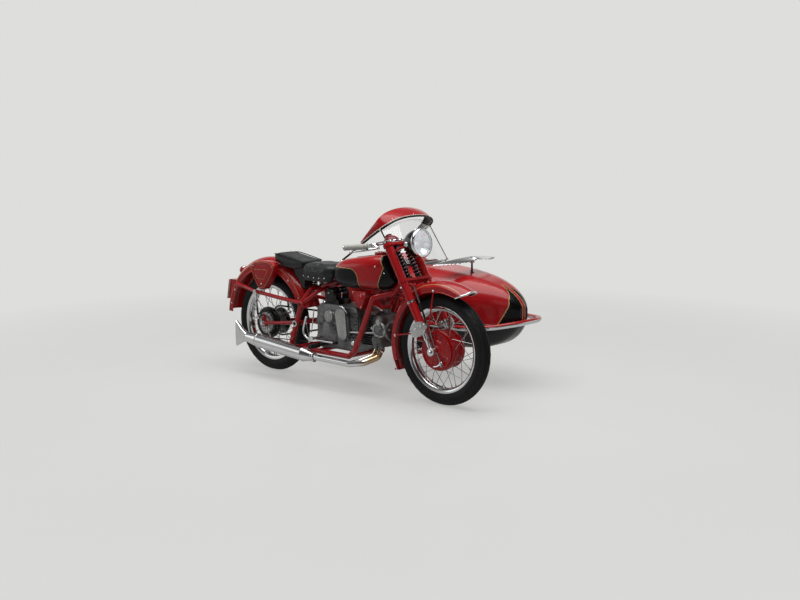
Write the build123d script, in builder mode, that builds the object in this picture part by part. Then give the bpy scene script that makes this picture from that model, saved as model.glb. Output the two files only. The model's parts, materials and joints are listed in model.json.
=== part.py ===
"""Motorcycle with a horizontal single-cylinder engine, and a boat-shaped sidecar on its left.

Millimetres. While modelling, X runs forward from the rear axle, Y to the left from the motorcycle's
middle plane and Z up from the floor. finish() then moves every piece by one shift, so that the
part's origin is the middle of its footprint on the floor.
"""

import os
from math import cos, hypot, radians, sin, sqrt, tan

from build123d import *

os.makedirs("parts", exist_ok=True)

# ---------------------------------------------------------------- driving dimensions
WHEELBASE = 1500.0
GAP = 0.3                       # clearance between pieces that sit on each other
SHEET = 3.0                     # mudguards and other pressed sheet, as modelled

# wheels, all three alike
TYRE_R = 330.0                  # 3.50 x 19 tyre
TYRE_HALF = 46.0
BEAD_R = 240.0
BEAD_HALF = 28.0
RIM_R = 256.0
RIM_HALF = 33.0
RIM_WELL_R = 226.0
SPOKE_R = 2.0
SPOKES_A_SIDE = 18
AXLE_R = 8.5
FRONT_DRUM_R = 120.0
REAR_DRUM_R = 106.0
SPROCKET_R = 92.0
SPROCKET_Y = 62.0               # inner face of the rear sprocket
SPROCKET_T = 5.0

# steering head and fork
RAKE = 30.0                     # degrees from the vertical
FORK_HALF = 105.0               # fork legs, each side of the middle plane
FORK_TUBE_R = 26.0
SLIDER_R = 17.0
STEER_OFFSET = 60.0             # from the steering axis forward to the legs
HEAD_LOW, HEAD_HIGH = 700.0, 880.0      # heights of the steering head tube's ends
HEAD_R = 27.0
STEM_R = 14.0
YOKE_T = 16.0
FORK_TOP = 925.0
FORK_TUBE_LOW = 470.0
BAR_R = 11.0
GRIP_R = 17.0

# frame
TUBE_R = 17.0
RAIL_HALF = 115.0               # cradle tubes, each side
RAIL_Z = 215.0
PIVOT_X, PIVOT_Z = 358.0, 372.0         # swinging arm's pivot
ARM_HALF = 90.0                 # swinging arm's legs, each side

# engine
CASE_HALF = 92.0
CASE_REAR, CASE_FRONT = 512.0, 880.0
CASE_LOW, CASE_HIGH = 246.0, 520.0
CYL_Z = 390.0                   # cylinder's axis
HEAD_JOINT_X = 1012.0
ENGINE_FRONT = 1098.0
DRIVE_X, DRIVE_Z, DRIVE_R = 560.0, 392.0, 38.0      # gearbox sprocket
CHAIN_H, CHAIN_W = 11.0, 10.0
FLYWHEEL_R = 138.0
EXHAUST_Y = -190.0

# mudguards: crown radius, half width, lower edge radius
REAR_GUARD = (432.0, 76.0, 352.0)
FRONT_GUARD = (392.0, 70.0, 325.0)
CAR_GUARD = (388.0, 70.0, 335.0)

# sidecar
CAR_Y = 640.0                   # its middle plane
CAR_WALL = 9.0
CAR_SPLIT_Z = 405.0             # seam between the body and the black hull
CAR_WHEEL_X = 210.0
CAR_WHEEL_Y = 1130.0
CHASSIS_Z = 300.0
CHASSIS_INNER_Y, CHASSIS_OUTER_Y = 300.0, 980.0
CROSS_Z = 192.0
CROSS_R = 15.0
MOUNT_X = (260.0, 980.0)        # cross members that carry the body
COCKPIT_REAR, COCKPIT_FRONT, COCKPIT_HALF = 300.0, 770.0, 232.0

# outline reaches, from which the origin is worked out
REAR_REACH = 440.0              # number plate, behind the rear axle
BAR_REACH = 364.0               # end of the handlebar, to the right
CAR_AXLE_REACH = 85.0           # sidecar axle's end, outside its wheel's middle

FRONT_X = WHEELBASE
MID_X = (WHEELBASE + TYRE_R - REAR_REACH) / 2
MID_Y = (CAR_WHEEL_Y + CAR_AXLE_REACH - BAR_REACH) / 2
FRONT_C = (FRONT_X, 0.0, TYRE_R)
REAR_C = (0.0, 0.0, TYRE_R)
CAR_C = (CAR_WHEEL_X, CAR_WHEEL_Y, TYRE_R)

SIDES = (-1, 1)
FRAME_SHIFT = Location((-MID_X, -MID_Y, 0))


def finish(built, label):
    """Moves a finished piece into the part's own frame and writes it."""
    placed = FRAME_SHIFT * built.part
    placed.label = label
    export_step(placed, f"parts/{label}.step")


def leg_x(z):
    """X of the fork legs' line at height z: it passes through the front axle."""
    return FRONT_X + (TYRE_R - z) * tan(radians(RAKE))


def head_x(z):
    """X of the steering axis at height z."""
    return leg_x(z) - STEER_OFFSET / cos(radians(RAKE))


def steering_plane(z):
    """Plane square to the steering axis where that axis is at height z; its X points forward."""
    lean = radians(RAKE)
    return Plane(origin=(head_x(z), 0, z), x_dir=(cos(lean), 0, sin(lean)), z_dir=(-sin(lean), 0, cos(lean)))


def rod(start, end, radius, mode=Mode.ADD):
    """A straight round bar from start to end."""
    start, end = Vector(*start), Vector(*end)
    with Locations(Plane(origin=start, z_dir=end - start)):
        Cylinder(radius, (end - start).length, align=(Align.CENTER, Align.CENTER, Align.MIN), mode=mode)


def tube(points, radius, bend):
    """A bent round bar through points, every corner rounded to the bend radius."""
    with BuildLine() as path:
        FilletPolyline(*points, radius=bend)
    with BuildSketch(Plane(origin=path.line @ 0, z_dir=path.line % 0)) as section:
        Circle(radius)
    return sweep(section.sketch, path=path.wire())


def both(points):
    """The points, and their mirror images over the motorcycle's middle plane."""
    return points, [(x, -y, z) for x, y, z in points]


def side_plate(outline, y_near, y_far, mode=Mode.ADD):
    """A flat plate with an outline of (x, z) points, between two offsets from the middle plane."""
    with BuildSketch(Plane.XZ.offset(-y_near)) as profile:
        with BuildLine():
            Polyline(*outline, close=True)
        make_face()
    return extrude(profile.sketch, amount=y_near - y_far, mode=mode)


def wheel_plane(centre):
    """Plane through a wheel's axle: its X is the radius, its Y the offset to the left."""
    return Plane(origin=centre, x_dir=(1, 0, 0), z_dir=(0, 0, 1))


def turned(rows, centre):
    """A body of revolution about a wheel's axle, from (radius, offset) rows."""
    with BuildSketch(wheel_plane(centre)) as profile:
        with BuildLine():
            Polyline(*rows, close=True)
        make_face()
    return revolve(profile.sketch, axis=Axis(centre, (0, 1, 0)))


# ---------------------------------------------------------------- wheels
def tyre(centre, label):
    shoulder_r, shoulder_half = TYRE_R - 13, TYRE_HALF - 15
    belly_r = (RIM_R + TYRE_R) / 2 - 6
    with BuildPart() as built:
        with BuildSketch(wheel_plane(centre)) as profile:
            with BuildLine():
                Polyline((RIM_R, -BEAD_HALF), (BEAD_R, -BEAD_HALF), (BEAD_R, BEAD_HALF), (RIM_R, BEAD_HALF))
                ThreePointArc((RIM_R, BEAD_HALF), (belly_r, TYRE_HALF), (shoulder_r, shoulder_half))
                ThreePointArc((shoulder_r, shoulder_half), (TYRE_R, 0), (shoulder_r, -shoulder_half))
                ThreePointArc((shoulder_r, -shoulder_half), (belly_r, -TYRE_HALF), (RIM_R, -BEAD_HALF))
            make_face()
        revolve(profile.sketch, axis=Axis(centre, (0, 1, 0)))
    finish(built, label)


def spoke_planes(centre, hub_r, flange, side, outer):
    """Planes at the hub ends of one row of spokes, each looking at its rim end, and their length."""
    cx, cy, cz = centre
    lean = 42 if outer else -42
    rim_r = RIM_WELL_R + 3
    planes = []
    for i in range(outer, SPOKES_A_SIDE, 2):
        at_rim = radians((i + side * 0.25) * 360 / SPOKES_A_SIDE)
        at_hub = at_rim + radians(lean)
        hub = Vector(cx + hub_r * cos(at_hub), cy + side * (flange - 5 * outer), cz + hub_r * sin(at_hub))
        rim = Vector(cx + rim_r * cos(at_rim), cy + side * 6, cz + rim_r * sin(at_rim))
        planes.append(Plane(origin=hub, z_dir=rim - hub))
    return planes, (rim - hub).length


def wheel(centre, hub_rows, hub_r, flange, label):
    """Hub, rim with its spokes, and tyre."""
    rim_rows = [
        (RIM_R, -RIM_HALF), (RIM_R, -BEAD_HALF), (BEAD_R, -BEAD_HALF), (BEAD_R, BEAD_HALF), (RIM_R, BEAD_HALF),
        (RIM_R, RIM_HALF), (BEAD_R - 2, RIM_HALF), (BEAD_R - 8, 22), (RIM_WELL_R, 12), (RIM_WELL_R, -12),
        (BEAD_R - 8, -22), (BEAD_R - 2, -RIM_HALF),
    ]
    with BuildPart() as hub:
        turned(hub_rows, centre)
    finish(hub, f"{label}_hub")
    with BuildPart() as rim:
        turned(rim_rows, centre)
        for side in SIDES:
            for outer in (0, 1):
                planes, length = spoke_planes(centre, hub_r, flange, side, outer)
                with Locations(*planes):
                    Cylinder(SPOKE_R, length, align=(Align.CENTER, Align.CENTER, Align.MIN))
        add(hub.part, mode=Mode.SUBTRACT)
    finish(rim, f"{label}_rim")
    tyre(centre, f"{label}_tyre")


BORE_R = AXLE_R + GAP
FRONT_HUB = [                   # radius, offset to the left
    (BORE_R, -58), (FRONT_DRUM_R - 6, -58), (FRONT_DRUM_R, -50), (FRONT_DRUM_R, -14), (104, 0),
    (100, 44), (112, 48), (112, 56), (60, 66), (30, 74), (BORE_R, 74),
]
REAR_HUB = [
    (BORE_R, -66), (REAR_DRUM_R - 10, -66), (REAR_DRUM_R, -58), (REAR_DRUM_R, -36), (60, -26), (34, -8),
    (34, 30), (62, 44), (62, 54), (34, 58), (34, SPROCKET_Y), (SPROCKET_R, SPROCKET_Y),
    (SPROCKET_R, SPROCKET_Y + SPROCKET_T), (40, SPROCKET_Y + SPROCKET_T), (40, 74), (BORE_R, 74),
]
CAR_HUB = [
    (BORE_R, -58), (40, -58), (58, -50), (58, -42), (32, -34), (32, 34), (58, 42), (58, 50), (30, 60),
    (BORE_R, 60),
]
wheel(FRONT_C, FRONT_HUB, 96, 50, "front")
wheel(REAR_C, REAR_HUB, 52, 48, "rear")
wheel(CAR_C, CAR_HUB, 50, 45, "sidecar")

# ---------------------------------------------------------------- frame
SEAT_BACK_X, SEAT_BACK_Z = 440.0, 600.0
TOP_TUBE_R = 20.0
UPRIGHT_Y = 122.0
UPRIGHT_TOP = (412, UPRIGHT_Y, 508)
BOX_IN, BOX_OUT = 78.0, 126.0   # inner and outer faces of the boxes under the tank
with BuildPart() as frame:
    rod((head_x(HEAD_LOW), 0, HEAD_LOW), (head_x(HEAD_HIGH), 0, HEAD_HIGH), HEAD_R)
    tube([(head_x(765), 0, 765), (800, 0, 722), (690, 0, 676), (SEAT_BACK_X, 0, SEAT_BACK_Z - 10)], TOP_TUBE_R, 60)
    for points in both([(1198, 10, 724), (1140, 34, 634), (1040, RAIL_HALF, 602), (885, RAIL_HALF, 262),
                        (830, RAIL_HALF, RAIL_Z), (300, RAIL_HALF, RAIL_Z)]):
        tube(points, TUBE_R, 26)
    for points in both([(300, UPRIGHT_Y, RAIL_Z), (330, UPRIGHT_Y, 300), UPRIGHT_TOP,
                        (SEAT_BACK_X, 60, SEAT_BACK_Z), (SEAT_BACK_X, 0, SEAT_BACK_Z)]):
        tube(points, TUBE_R, 30)
    for points in both([UPRIGHT_TOP, (160, RAIL_HALF, 524), (-60, RAIL_HALF, 543),
                        (-190, REAR_GUARD[1] + 14 + GAP, 558), (-288, REAR_GUARD[1] + 13 + GAP, 572)]):
        tube(points, 13, 40)
    for points in both([(414, UPRIGHT_Y - 4, 508), (520, 80, 590), (545, 0, 618)]):
        tube(points, 12, 40)
    for x in (348, 540, 820):
        rod((x, -RAIL_HALF, RAIL_Z), (x, RAIL_HALF, RAIL_Z), 13)
    rod((940, GAP - BOX_IN, 598), (940, BOX_IN - GAP, 598), 10)
    rod((1204, 0, 728), (1040, 0, 606), 15)
    rod((1036, -RAIL_HALF, 600), (1036, RAIL_HALF, 600), 14)
    rod((940, 0, 598), (1040, 0, 602), 10)
    rod((330, -RAIL_HALF, RAIL_Z), (330, EXHAUST_Y + 45.7, RAIL_Z - 3), 9)
    rod((head_x(HEAD_LOW), 0, HEAD_LOW), (head_x(HEAD_HIGH), 0, HEAD_HIGH), STEM_R + GAP, mode=Mode.SUBTRACT)
finish(frame, "frame")

# swinging arm with the rear axle, the dampers' ears and the brake plate
DAMPER_X, DAMPER_Z = -6.0, 376.0
with BuildPart() as swing_arm:
    for side in SIDES:
        y = side * ARM_HALF
        rod((PIVOT_X, y, PIVOT_Z), (0, y, TYRE_R), 12)
        rod((0, y - 7, TYRE_R), (0, y + 7, TYRE_R), 26)
        rod((DAMPER_X, y - 7, DAMPER_Z), (DAMPER_X, y + 7, DAMPER_Z), 16)
        near, far = sorted((y - 7, y + 7), reverse=True)
        side_plate([(-18, 330), (18, 330), (DAMPER_X + 15, DAMPER_Z), (DAMPER_X - 15, DAMPER_Z)], near, far)
    pivot_half = UPRIGHT_Y - TUBE_R - GAP
    rod((PIVOT_X, -pivot_half, PIVOT_Z), (PIVOT_X, pivot_half, PIVOT_Z), 16)
    rod((0, -118, TYRE_R), (0, 118, TYRE_R), AXLE_R)
    rod((0, -78, TYRE_R), (0, -72, TYRE_R), REAR_DRUM_R - 14)
finish(swing_arm, "swing_arm")

# friction dampers between the swinging arm and the upper frame tube
with BuildPart() as rear_dampers:
    for side in SIDES:
        rod((-30, side * 137, 542), (DAMPER_X, side * 137, DAMPER_Z), 8)
        rod((-30, side * (RAIL_HALF + 13 + GAP), 542), (-30, side * 146, 542), 18)
        rod((DAMPER_X, side * (ARM_HALF + 7 + GAP), DAMPER_Z), (DAMPER_X, side * 146, DAMPER_Z), 14)
finish(rear_dampers, "rear_dampers")

# ---------------------------------------------------------------- engine
with BuildPart() as crankcase:
    side_plate([(CASE_REAR, 280), (548, CASE_LOW), (850, CASE_LOW), (CASE_FRONT, 280), (CASE_FRONT, 490),
                (850, CASE_HIGH), (545, CASE_HIGH), (CASE_REAR, 485)], -CASE_HALF, CASE_HALF)
    for x in (540, 820):
        side_plate([(x - 14, CASE_LOW + 14), (x - 14, RAIL_Z + 13 + GAP), (x + 14, RAIL_Z + 13 + GAP),
                    (x + 14, CASE_LOW + 14)], -60, 60)
    side_plate([(CASE_REAR - 10, 300), (CASE_REAR - 10, 472), (612, 472), (612, 300)], 50, CASE_HALF + 5,
               mode=Mode.SUBTRACT)
    rod((DRIVE_X, 40, DRIVE_Z), (DRIVE_X, SPROCKET_Y + SPROCKET_T, DRIVE_Z), DRIVE_R)
    for x, z, radius, reach in ((660, 446, 34, 128), (765, 470, 46, 124), (785, 350, 58, 122), (640, 340, 60, 112)):
        rod((x, -CASE_HALF, z), (x, -reach, z), radius)
finish(crankcase, "crankcase")


def fins(start_x, pitch, count, thick, half, low, high, corner):
    """A row of upright cooling fins across the cylinder."""
    for i in range(count):
        with BuildSketch(Plane.YZ.offset(start_x + i * pitch)) as fin:
            with Locations((0, (low + high) / 2)):
                RectangleRounded(2 * half, high - low, corner)
        extrude(fin.sketch, amount=thick)


with BuildPart() as cylinder:
    rod((CASE_FRONT + GAP, 0, CYL_Z), (HEAD_JOINT_X, 0, CYL_Z), 64)
    fins(CASE_FRONT + 10, 15, 8, 4, 84, 288, 492, 50)
finish(cylinder, "cylinder")

with BuildPart() as cylinder_head:
    rod((HEAD_JOINT_X + GAP, 0, CYL_Z), (ENGINE_FRONT, 0, CYL_Z), 62)
    fins(HEAD_JOINT_X + 4, 12, 6, 4, 88, 282, 508, 60)
    rod((1048, 0, CYL_Z + 60), (1048, 0, 525), 22)
finish(cylinder_head, "cylinder_head")

FLYWHEEL_Y = RAIL_HALF + TUBE_R + 2
with BuildPart() as flywheel:
    rod((790, CASE_HALF + GAP, 360), (790, FLYWHEEL_Y + 1, 360), 30)
    rod((790, FLYWHEEL_Y, 360), (790, FLYWHEEL_Y + 20, 360), FLYWHEEL_R)
finish(flywheel, "flywheel")

with BuildPart() as dynamo:
    rod((628, -82, 574), (628, 50, 574), 50)
    side_plate([(566, CASE_HIGH + GAP), (566, 560), (700, 560), (700, CASE_HIGH + GAP)], -70, 45)
finish(dynamo, "dynamo")

# two header stubs that join into one pipe along the right side
PORT_Z = 281.0
with BuildPart() as exhaust_pipe:
    tube([(1052, -60, PORT_Z), (1052, -88, 236), (1000, -162, 204), (905, EXHAUST_Y, 190), (590, EXHAUST_Y, 193)], 19, 34)
    tube([(1012, -60, PORT_Z), (1012, -92, 240), (965, -150, 210), (910, EXHAUST_Y + 4, 192)], 17, 30)
finish(exhaust_pipe, "exhaust_pipe")

SILENCER = [                    # X, height of the axis, half height, half width
    (589.7, 193, 25, 25), (500, 198, 45, 45), (60, 232, 46, 46), (-62, 241, 30, 27),
]
FISHTAIL = [(-62, 241, 28, 25), (-105, 247, 46, 19), (-168, 256, 86, 13)]
with BuildPart() as silencer:
    for rows, corner in ((SILENCER, 0.995), (FISHTAIL, 0.9)):
        sections = []
        for x, z, half_z, half_y in rows:
            with BuildSketch(Plane.YZ.offset(x)) as section:
                with Locations((EXHAUST_Y, z)):
                    RectangleRounded(2 * half_y, 2 * half_z, min(half_y, half_z) * corner)
            sections.append(section.sketch)
        loft(sections, ruled=True)
finish(silencer, "silencer")

# chain loop round both sprockets
with BuildPart() as drive_chain:
    for grow, mode in ((CHAIN_H, Mode.ADD), (0, Mode.SUBTRACT)):
        with BuildSketch(Plane.XZ.offset(-SPROCKET_Y - SPROCKET_T / 2 - CHAIN_W / 2)) as loop:
            with Locations((0, TYRE_R)):
                Circle(SPROCKET_R + 2 + grow)
            with Locations((DRIVE_X, DRIVE_Z)):
                Circle(DRIVE_R + GAP + grow)
            make_hull()
        extrude(loop.sketch, amount=CHAIN_W, mode=mode)
finish(drive_chain, "drive_chain")

# ---------------------------------------------------------------- tank, boxes, seats
TANK = [                        # X, half width, low, high, corner radius
    (684, 88, 660, 758, 40), (722, 122, 648, 794, 58), (800, 138, 641, 820, 66), (960, 138, 641, 846, 72),
    (1090, 108, 648, 856, 66), (1200, 80, 736, 846, 46),
]
TANK_SETBACK = 38.0             # tank's front face, behind the steering axis
TUNNEL_HALF, TUNNEL_TOP = 26.0, 790.0
with BuildPart() as fuel_tank:
    sections = []
    for x, half, low, high, corner in TANK:
        with BuildSketch(Plane.YZ.offset(x)) as section:
            with Locations((0, (low + high) / 2)):
                RectangleRounded(2 * half, high - low, corner)
        sections.append(section.sketch)
    loft(sections)
    side_plate([(600, 600), (600, TUNNEL_TOP), (1250, TUNNEL_TOP), (1250, 600)], -TUNNEL_HALF, TUNNEL_HALF,
               mode=Mode.SUBTRACT)
    side_plate([(1120, 600), (1120, 735), (1250, 735), (1250, 600)], -60, 60, mode=Mode.SUBTRACT)
    face = steering_plane(HEAD_HIGH)
    split(bisect_by=Plane(origin=face.origin - face.x_dir * TANK_SETBACK, z_dir=-face.x_dir), keep=Keep.TOP)
    rod((1002, 0, 840), (1002, 0, 866), 40)
    for side in SIDES:      # feet on the frame's cross tube
        rod((1036, side * 45, 614 + GAP), (1036, side * 45, 660), 10)
    side_plate([(728, 713.9), (752, 723.9), (752, 800), (728, 800)], -TUNNEL_HALF - 2, TUNNEL_HALF + 2)
finish(fuel_tank, "fuel_tank")

# boxes under the tank, each with a round dome on its outer face
with BuildPart() as side_boxes:
    for side in SIDES:
        near, far = sorted((side * BOX_IN, side * BOX_OUT), reverse=True)
        side_plate([(862, 634), (990, 634), (984, 600), (963, 548), (945, 522), (905, 545)], near, far)
        with Locations(Plane(origin=(938, side * BOX_OUT, 588), z_dir=(0, side, 0))):
            Cone(30, 14, 10, align=(Align.CENTER, Align.CENTER, Align.MIN))
finish(side_boxes, "side_boxes")

SADDLE = [                      # height, rear X, front X, half width, corner radius
    (655, 392, 650, 116, 60), (700, 385, 672, 126, 70), (745, 392, 680, 122, 64), (764, 410, 662, 104, 54),
]
SADDLE_UNDER = 702.0            # underside of the saddle's hollow
with BuildPart() as saddle:
    sections = []
    for z, rear, front, half, corner in SADDLE:
        with BuildSketch(Plane.XY.offset(z)) as section:
            with Locations(((rear + front) / 2, 0)):
                RectangleRounded(front - rear, 2 * half, corner)
        sections.append(section.sketch)
    loft(sections)
    side_plate([(300, 600), (300, SADDLE_UNDER), (800, SADDLE_UNDER), (800, 600)], -62, 62, mode=Mode.SUBTRACT)
    rod((600, 0, 670.7), (600, 0, SADDLE_UNDER + 5), 12)
finish(saddle, "saddle")

with BuildPart() as saddle_springs:
    for side in SIDES:
        rod((SEAT_BACK_X, side * 28, SEAT_BACK_Z + TUBE_R + GAP), (SEAT_BACK_X, side * 28, SADDLE_UNDER - GAP), 15)
finish(saddle_springs, "saddle_springs")


# ---------------------------------------------------------------- mudguards
def mudguard(centre, sizes, start, end):
    """Rounded channel swept round a centre, from start to end degrees above the forward direction."""
    crown, half, lip = sizes
    shoulder = crown - half * 0.5
    turn = radians(start)
    plane = Plane(origin=centre, x_dir=(cos(turn), 0, sin(turn)), z_dir=(sin(turn), 0, -cos(turn)))
    with BuildSketch(plane) as profile:
        with BuildLine():
            Polyline((shoulder, -half), (lip, -half), (lip, SHEET - half), (shoulder, SHEET - half))
            ThreePointArc((shoulder, SHEET - half), (crown - SHEET, 0), (shoulder, half - SHEET))
            Polyline((shoulder, half - SHEET), (lip, half - SHEET), (lip, half), (shoulder, half))
            ThreePointArc((shoulder, half), (crown, 0), (shoulder, -half))
        make_face()
    return revolve(profile.sketch, axis=Axis(centre, (0, -1, 0)), revolution_arc=end - start)


REAR_GUARD_C = (0.0, 0.0, 340.0)
FRONT_GUARD_C = (FRONT_X + 5, 0.0, 345.0)
CAR_GUARD_C = (CAR_WHEEL_X, CAR_WHEEL_Y, 340.0)
with BuildPart() as rear_mudguard:
    mudguard(REAR_GUARD_C, REAR_GUARD, 18, 175)
finish(rear_mudguard, "rear_mudguard")

with BuildPart() as front_mudguard:
    mudguard(FRONT_GUARD_C, FRONT_GUARD, 60, 199)
    # the nose is cut to a beak
    side_plate([(1600, 600), (1630, 648), (1712, 681), (1730, 600)], 80, -80, mode=Mode.SUBTRACT)

with BuildPart() as mudguard_flap:
    mudguard(FRONT_GUARD_C, (FRONT_GUARD[0], FRONT_GUARD[1], FRONT_GUARD[2] + 20), 199.05, 208)
finish(mudguard_flap, "mudguard_flap")

# cases on both sides of the rear mudguard
with BuildPart() as tool_cases:
    for side in SIDES:
        near, far = sorted((side * (REAR_GUARD[1] + GAP), side * 130), reverse=True)
        side_plate([(-92, 700), (-62, 738), (0, 752), (70, 755), (132, 744), (152, 722), (120, 660), (52, 575),
                    (22, 565), (-12, 568), (-62, 640)], near, far)
finish(tool_cases, "tool_cases")

with BuildPart() as pillion_seat:
    side_plate([(108, 730), (112, 808), (130, 816), (388, 772), (383, 732), (300, 716)], 90, -90)
    side_plate([(250, 740), (383, 740), (372, 600), (330, 540)], 60, -60)
    with Locations(Plane(origin=REAR_GUARD_C, x_dir=(1, 0, 0), z_dir=(0, -1, 0))):
        Cylinder(REAR_GUARD[0] + GAP, 300, mode=Mode.SUBTRACT)
    add(saddle.part, mode=Mode.SUBTRACT)
    add(tool_cases.part, mode=Mode.SUBTRACT)
finish(pillion_seat, "pillion_seat")

LAMP_ANGLE = radians(134.5)
with BuildPart() as tail_lamp:
    outward = Vector(cos(LAMP_ANGLE), 0, sin(LAMP_ANGLE))
    base = Vector(*REAR_GUARD_C)
    rod(base + outward * (REAR_GUARD[0] - 2), base + outward * (REAR_GUARD[0] + 42), 30)
    fillet(tail_lamp.edges().sort_by(Axis.X)[0], 22)
    add(rear_mudguard.part, mode=Mode.SUBTRACT)
finish(tail_lamp, "tail_lamp")

PLATE_T, PLATE_HALF, PLATE_LEAN = 4.0, 55.0, 26.0
PLATE_LOW, PLATE_HIGH = 452.0, 590.0
with BuildPart() as plate_holder:
    seat_x = -REAR_REACH + PLATE_T + GAP
    side_plate([(-330, PLATE_HIGH), (seat_x + PLATE_LEAN, PLATE_HIGH), (seat_x, PLATE_LOW), (-400, PLATE_LOW)],
               42, -42)
    with Locations(Plane(origin=REAR_GUARD_C, x_dir=(1, 0, 0), z_dir=(0, -1, 0))):
        Cylinder(REAR_GUARD[0] - 1, 300, mode=Mode.SUBTRACT)
    add(rear_mudguard.part, mode=Mode.SUBTRACT)
finish(plate_holder, "plate_holder")

with BuildPart() as number_plate:
    side_plate([(-REAR_REACH, PLATE_LOW), (-REAR_REACH + PLATE_T, PLATE_LOW),
                (-REAR_REACH + PLATE_T + PLATE_LEAN, PLATE_HIGH), (-REAR_REACH + PLATE_LEAN, PLATE_HIGH)],
               PLATE_HALF, -PLATE_HALF)
finish(number_plate, "number_plate")

with BuildPart() as foot_controls:
    for side in SIDES:
        rod((600, side * (CASE_HALF + GAP), 264), (600, side * 235, 264), 10)
        rod((600, side * 150, 264), (600, side * 235, 264), 16)
    rod((545, -CASE_HALF - GAP, 300), (545, -170, 300), 9)
    tube([(502, -170, 434), (472, -170, 350), (526, -170, 290), (620, -170, 296), (772, -170, 301)], 7, 24)
finish(foot_controls, "foot_controls")

# ---------------------------------------------------------------- steering
YOKE_GAP = 6.0
LEAN = radians(RAKE)
upper_yoke = steering_plane(HEAD_HIGH + YOKE_GAP * cos(LEAN))
lower_yoke = steering_plane(HEAD_LOW - YOKE_GAP * cos(LEAN))
AXIS_DIR = upper_yoke.z_dir
BAR_C = upper_yoke.origin + AXIS_DIR * (YOKE_T + BAR_R + 14) + upper_yoke.x_dir * 30


def leg_point(z, side, inset=0.0):
    return Vector(leg_x(z), side * (FORK_HALF - inset), z)


def bar_points():
    reach, wide = BAR_REACH, 110
    near = [(1043, -reach, 921), (1118, -245, 926), (BAR_C.X, -wide, BAR_C.Z)]
    return near + [(x, -y, z) for x, y, z in reversed(near)]


with BuildPart() as handlebar:
    tube(bar_points(), BAR_R, 40)
    for side in SIDES:
        rod((1117, side * 190, 929), (1152, side * 186, 914), 9)
        rod((1155, side * 180, 914), (1076, side * 338, 896), 5)
finish(handlebar, "handlebar")

with BuildPart() as grips:
    for side in SIDES:
        rod((1121, side * 240, 925.8), (1045.5, side * 360, 921.2), GRIP_R)
    add(handlebar.part, mode=Mode.SUBTRACT)
finish(grips, "grips")

# headlamp: bowl, rim and lens, turned round the lamp's own axis
LAMP_BACK = Vector(1215, 0, 927)
LAMP_DIR = Vector(120, 0, 15).normalized()


def lamp_piece(rows):
    with BuildSketch(Plane(origin=LAMP_BACK, x_dir=LAMP_DIR, z_dir=(0, -1, 0))) as profile:
        with BuildLine():
            Polyline(*rows, close=True)
        make_face()
    return revolve(profile.sketch, axis=Axis(LAMP_BACK, LAMP_DIR))


with BuildPart() as headlamp:
    lamp_piece([(0, 0), (0, 22), (10, 44), (28, 63), (54, 76), (80, 82), (108, 83), (108, 0)])
finish(headlamp, "headlamp")
with BuildPart() as headlamp_rim:
    lamp_piece([(108 + GAP, 76), (108 + GAP, 86), (118, 87), (124, 83), (124, 76)])
finish(headlamp_rim, "headlamp_rim")
with BuildPart() as headlamp_lens:
    lamp_piece([(108 + 2 * GAP, 0), (108 + 2 * GAP, 76 - GAP), (119, 76 - GAP), (126, 48), (130, 0)])
finish(headlamp_lens, "headlamp_lens")

with BuildPart() as fork:
    for side in SIDES:
        rod(leg_point(FORK_TUBE_LOW, side), leg_point(FORK_TOP + 10, side), FORK_TUBE_R)
        rod(leg_point(880, side), (1268, side * 80, 925), 7)
        riser = upper_yoke.origin + AXIS_DIR * (YOKE_T - 1) + upper_yoke.x_dir * 30 + Vector(0, side * 42, 0)
        rod(riser, riser + AXIS_DIR * (BAR_R + 13), 13)
    for plane, thick in ((upper_yoke, YOKE_T), (lower_yoke, -YOKE_T)):
        with BuildSketch(plane) as yoke:
            Circle(HEAD_R - 3)
            with Locations((STEER_OFFSET, FORK_HALF), (STEER_OFFSET, -FORK_HALF)):
                Circle(FORK_TUBE_R + 5)
            make_hull()
        extrude(yoke.sketch, amount=thick)
    rod(lower_yoke.origin - AXIS_DIR * 5, upper_yoke.origin + AXIS_DIR * (YOKE_T + 24), STEM_R)
    rod(leg_point(706, -1, 10), (1345, -86, 703), 7)
    rod((1345, -92, 703), (1345, -80, 703), 11)
    add(handlebar.part, mode=Mode.SUBTRACT)
    add(headlamp.part, mode=Mode.SUBTRACT)
finish(fork, "fork")
# two coil springs between the yokes, in front of the steering head
with BuildPart() as fork_springs:
    for side in SIDES:
        foot = lower_yoke.origin + lower_yoke.x_dir * STEER_OFFSET + Vector(0, side * 44, 0) + AXIS_DIR * GAP
        span = (upper_yoke.origin - lower_yoke.origin).length - 2 * GAP
        rod(foot, foot + AXIS_DIR * span, 14)
        for i in range(9):
            rod(foot + AXIS_DIR * (10 + i * (span - 26) / 8), foot + AXIS_DIR * (16 + i * (span - 26) / 8), 21)
finish(fork_springs, "fork_springs")

with BuildPart() as steering_cap:
    cap_base = upper_yoke.origin + AXIS_DIR * (YOKE_T + 24 + GAP)
    with BuildSketch(Plane(origin=cap_base, x_dir=upper_yoke.x_dir, z_dir=(0, -1, 0))) as profile:
        with BuildLine():
            Polyline((0, 0), (50, 0), (52, 8))
            ThreePointArc((52, 8), (38, 38), (0, 50))
            Line((0, 50), (0, 0))
        make_face()
    revolve(profile.sketch, axis=Axis(cap_base, AXIS_DIR))
    add(handlebar.part, mode=Mode.SUBTRACT)
finish(steering_cap, "steering_cap")

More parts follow.
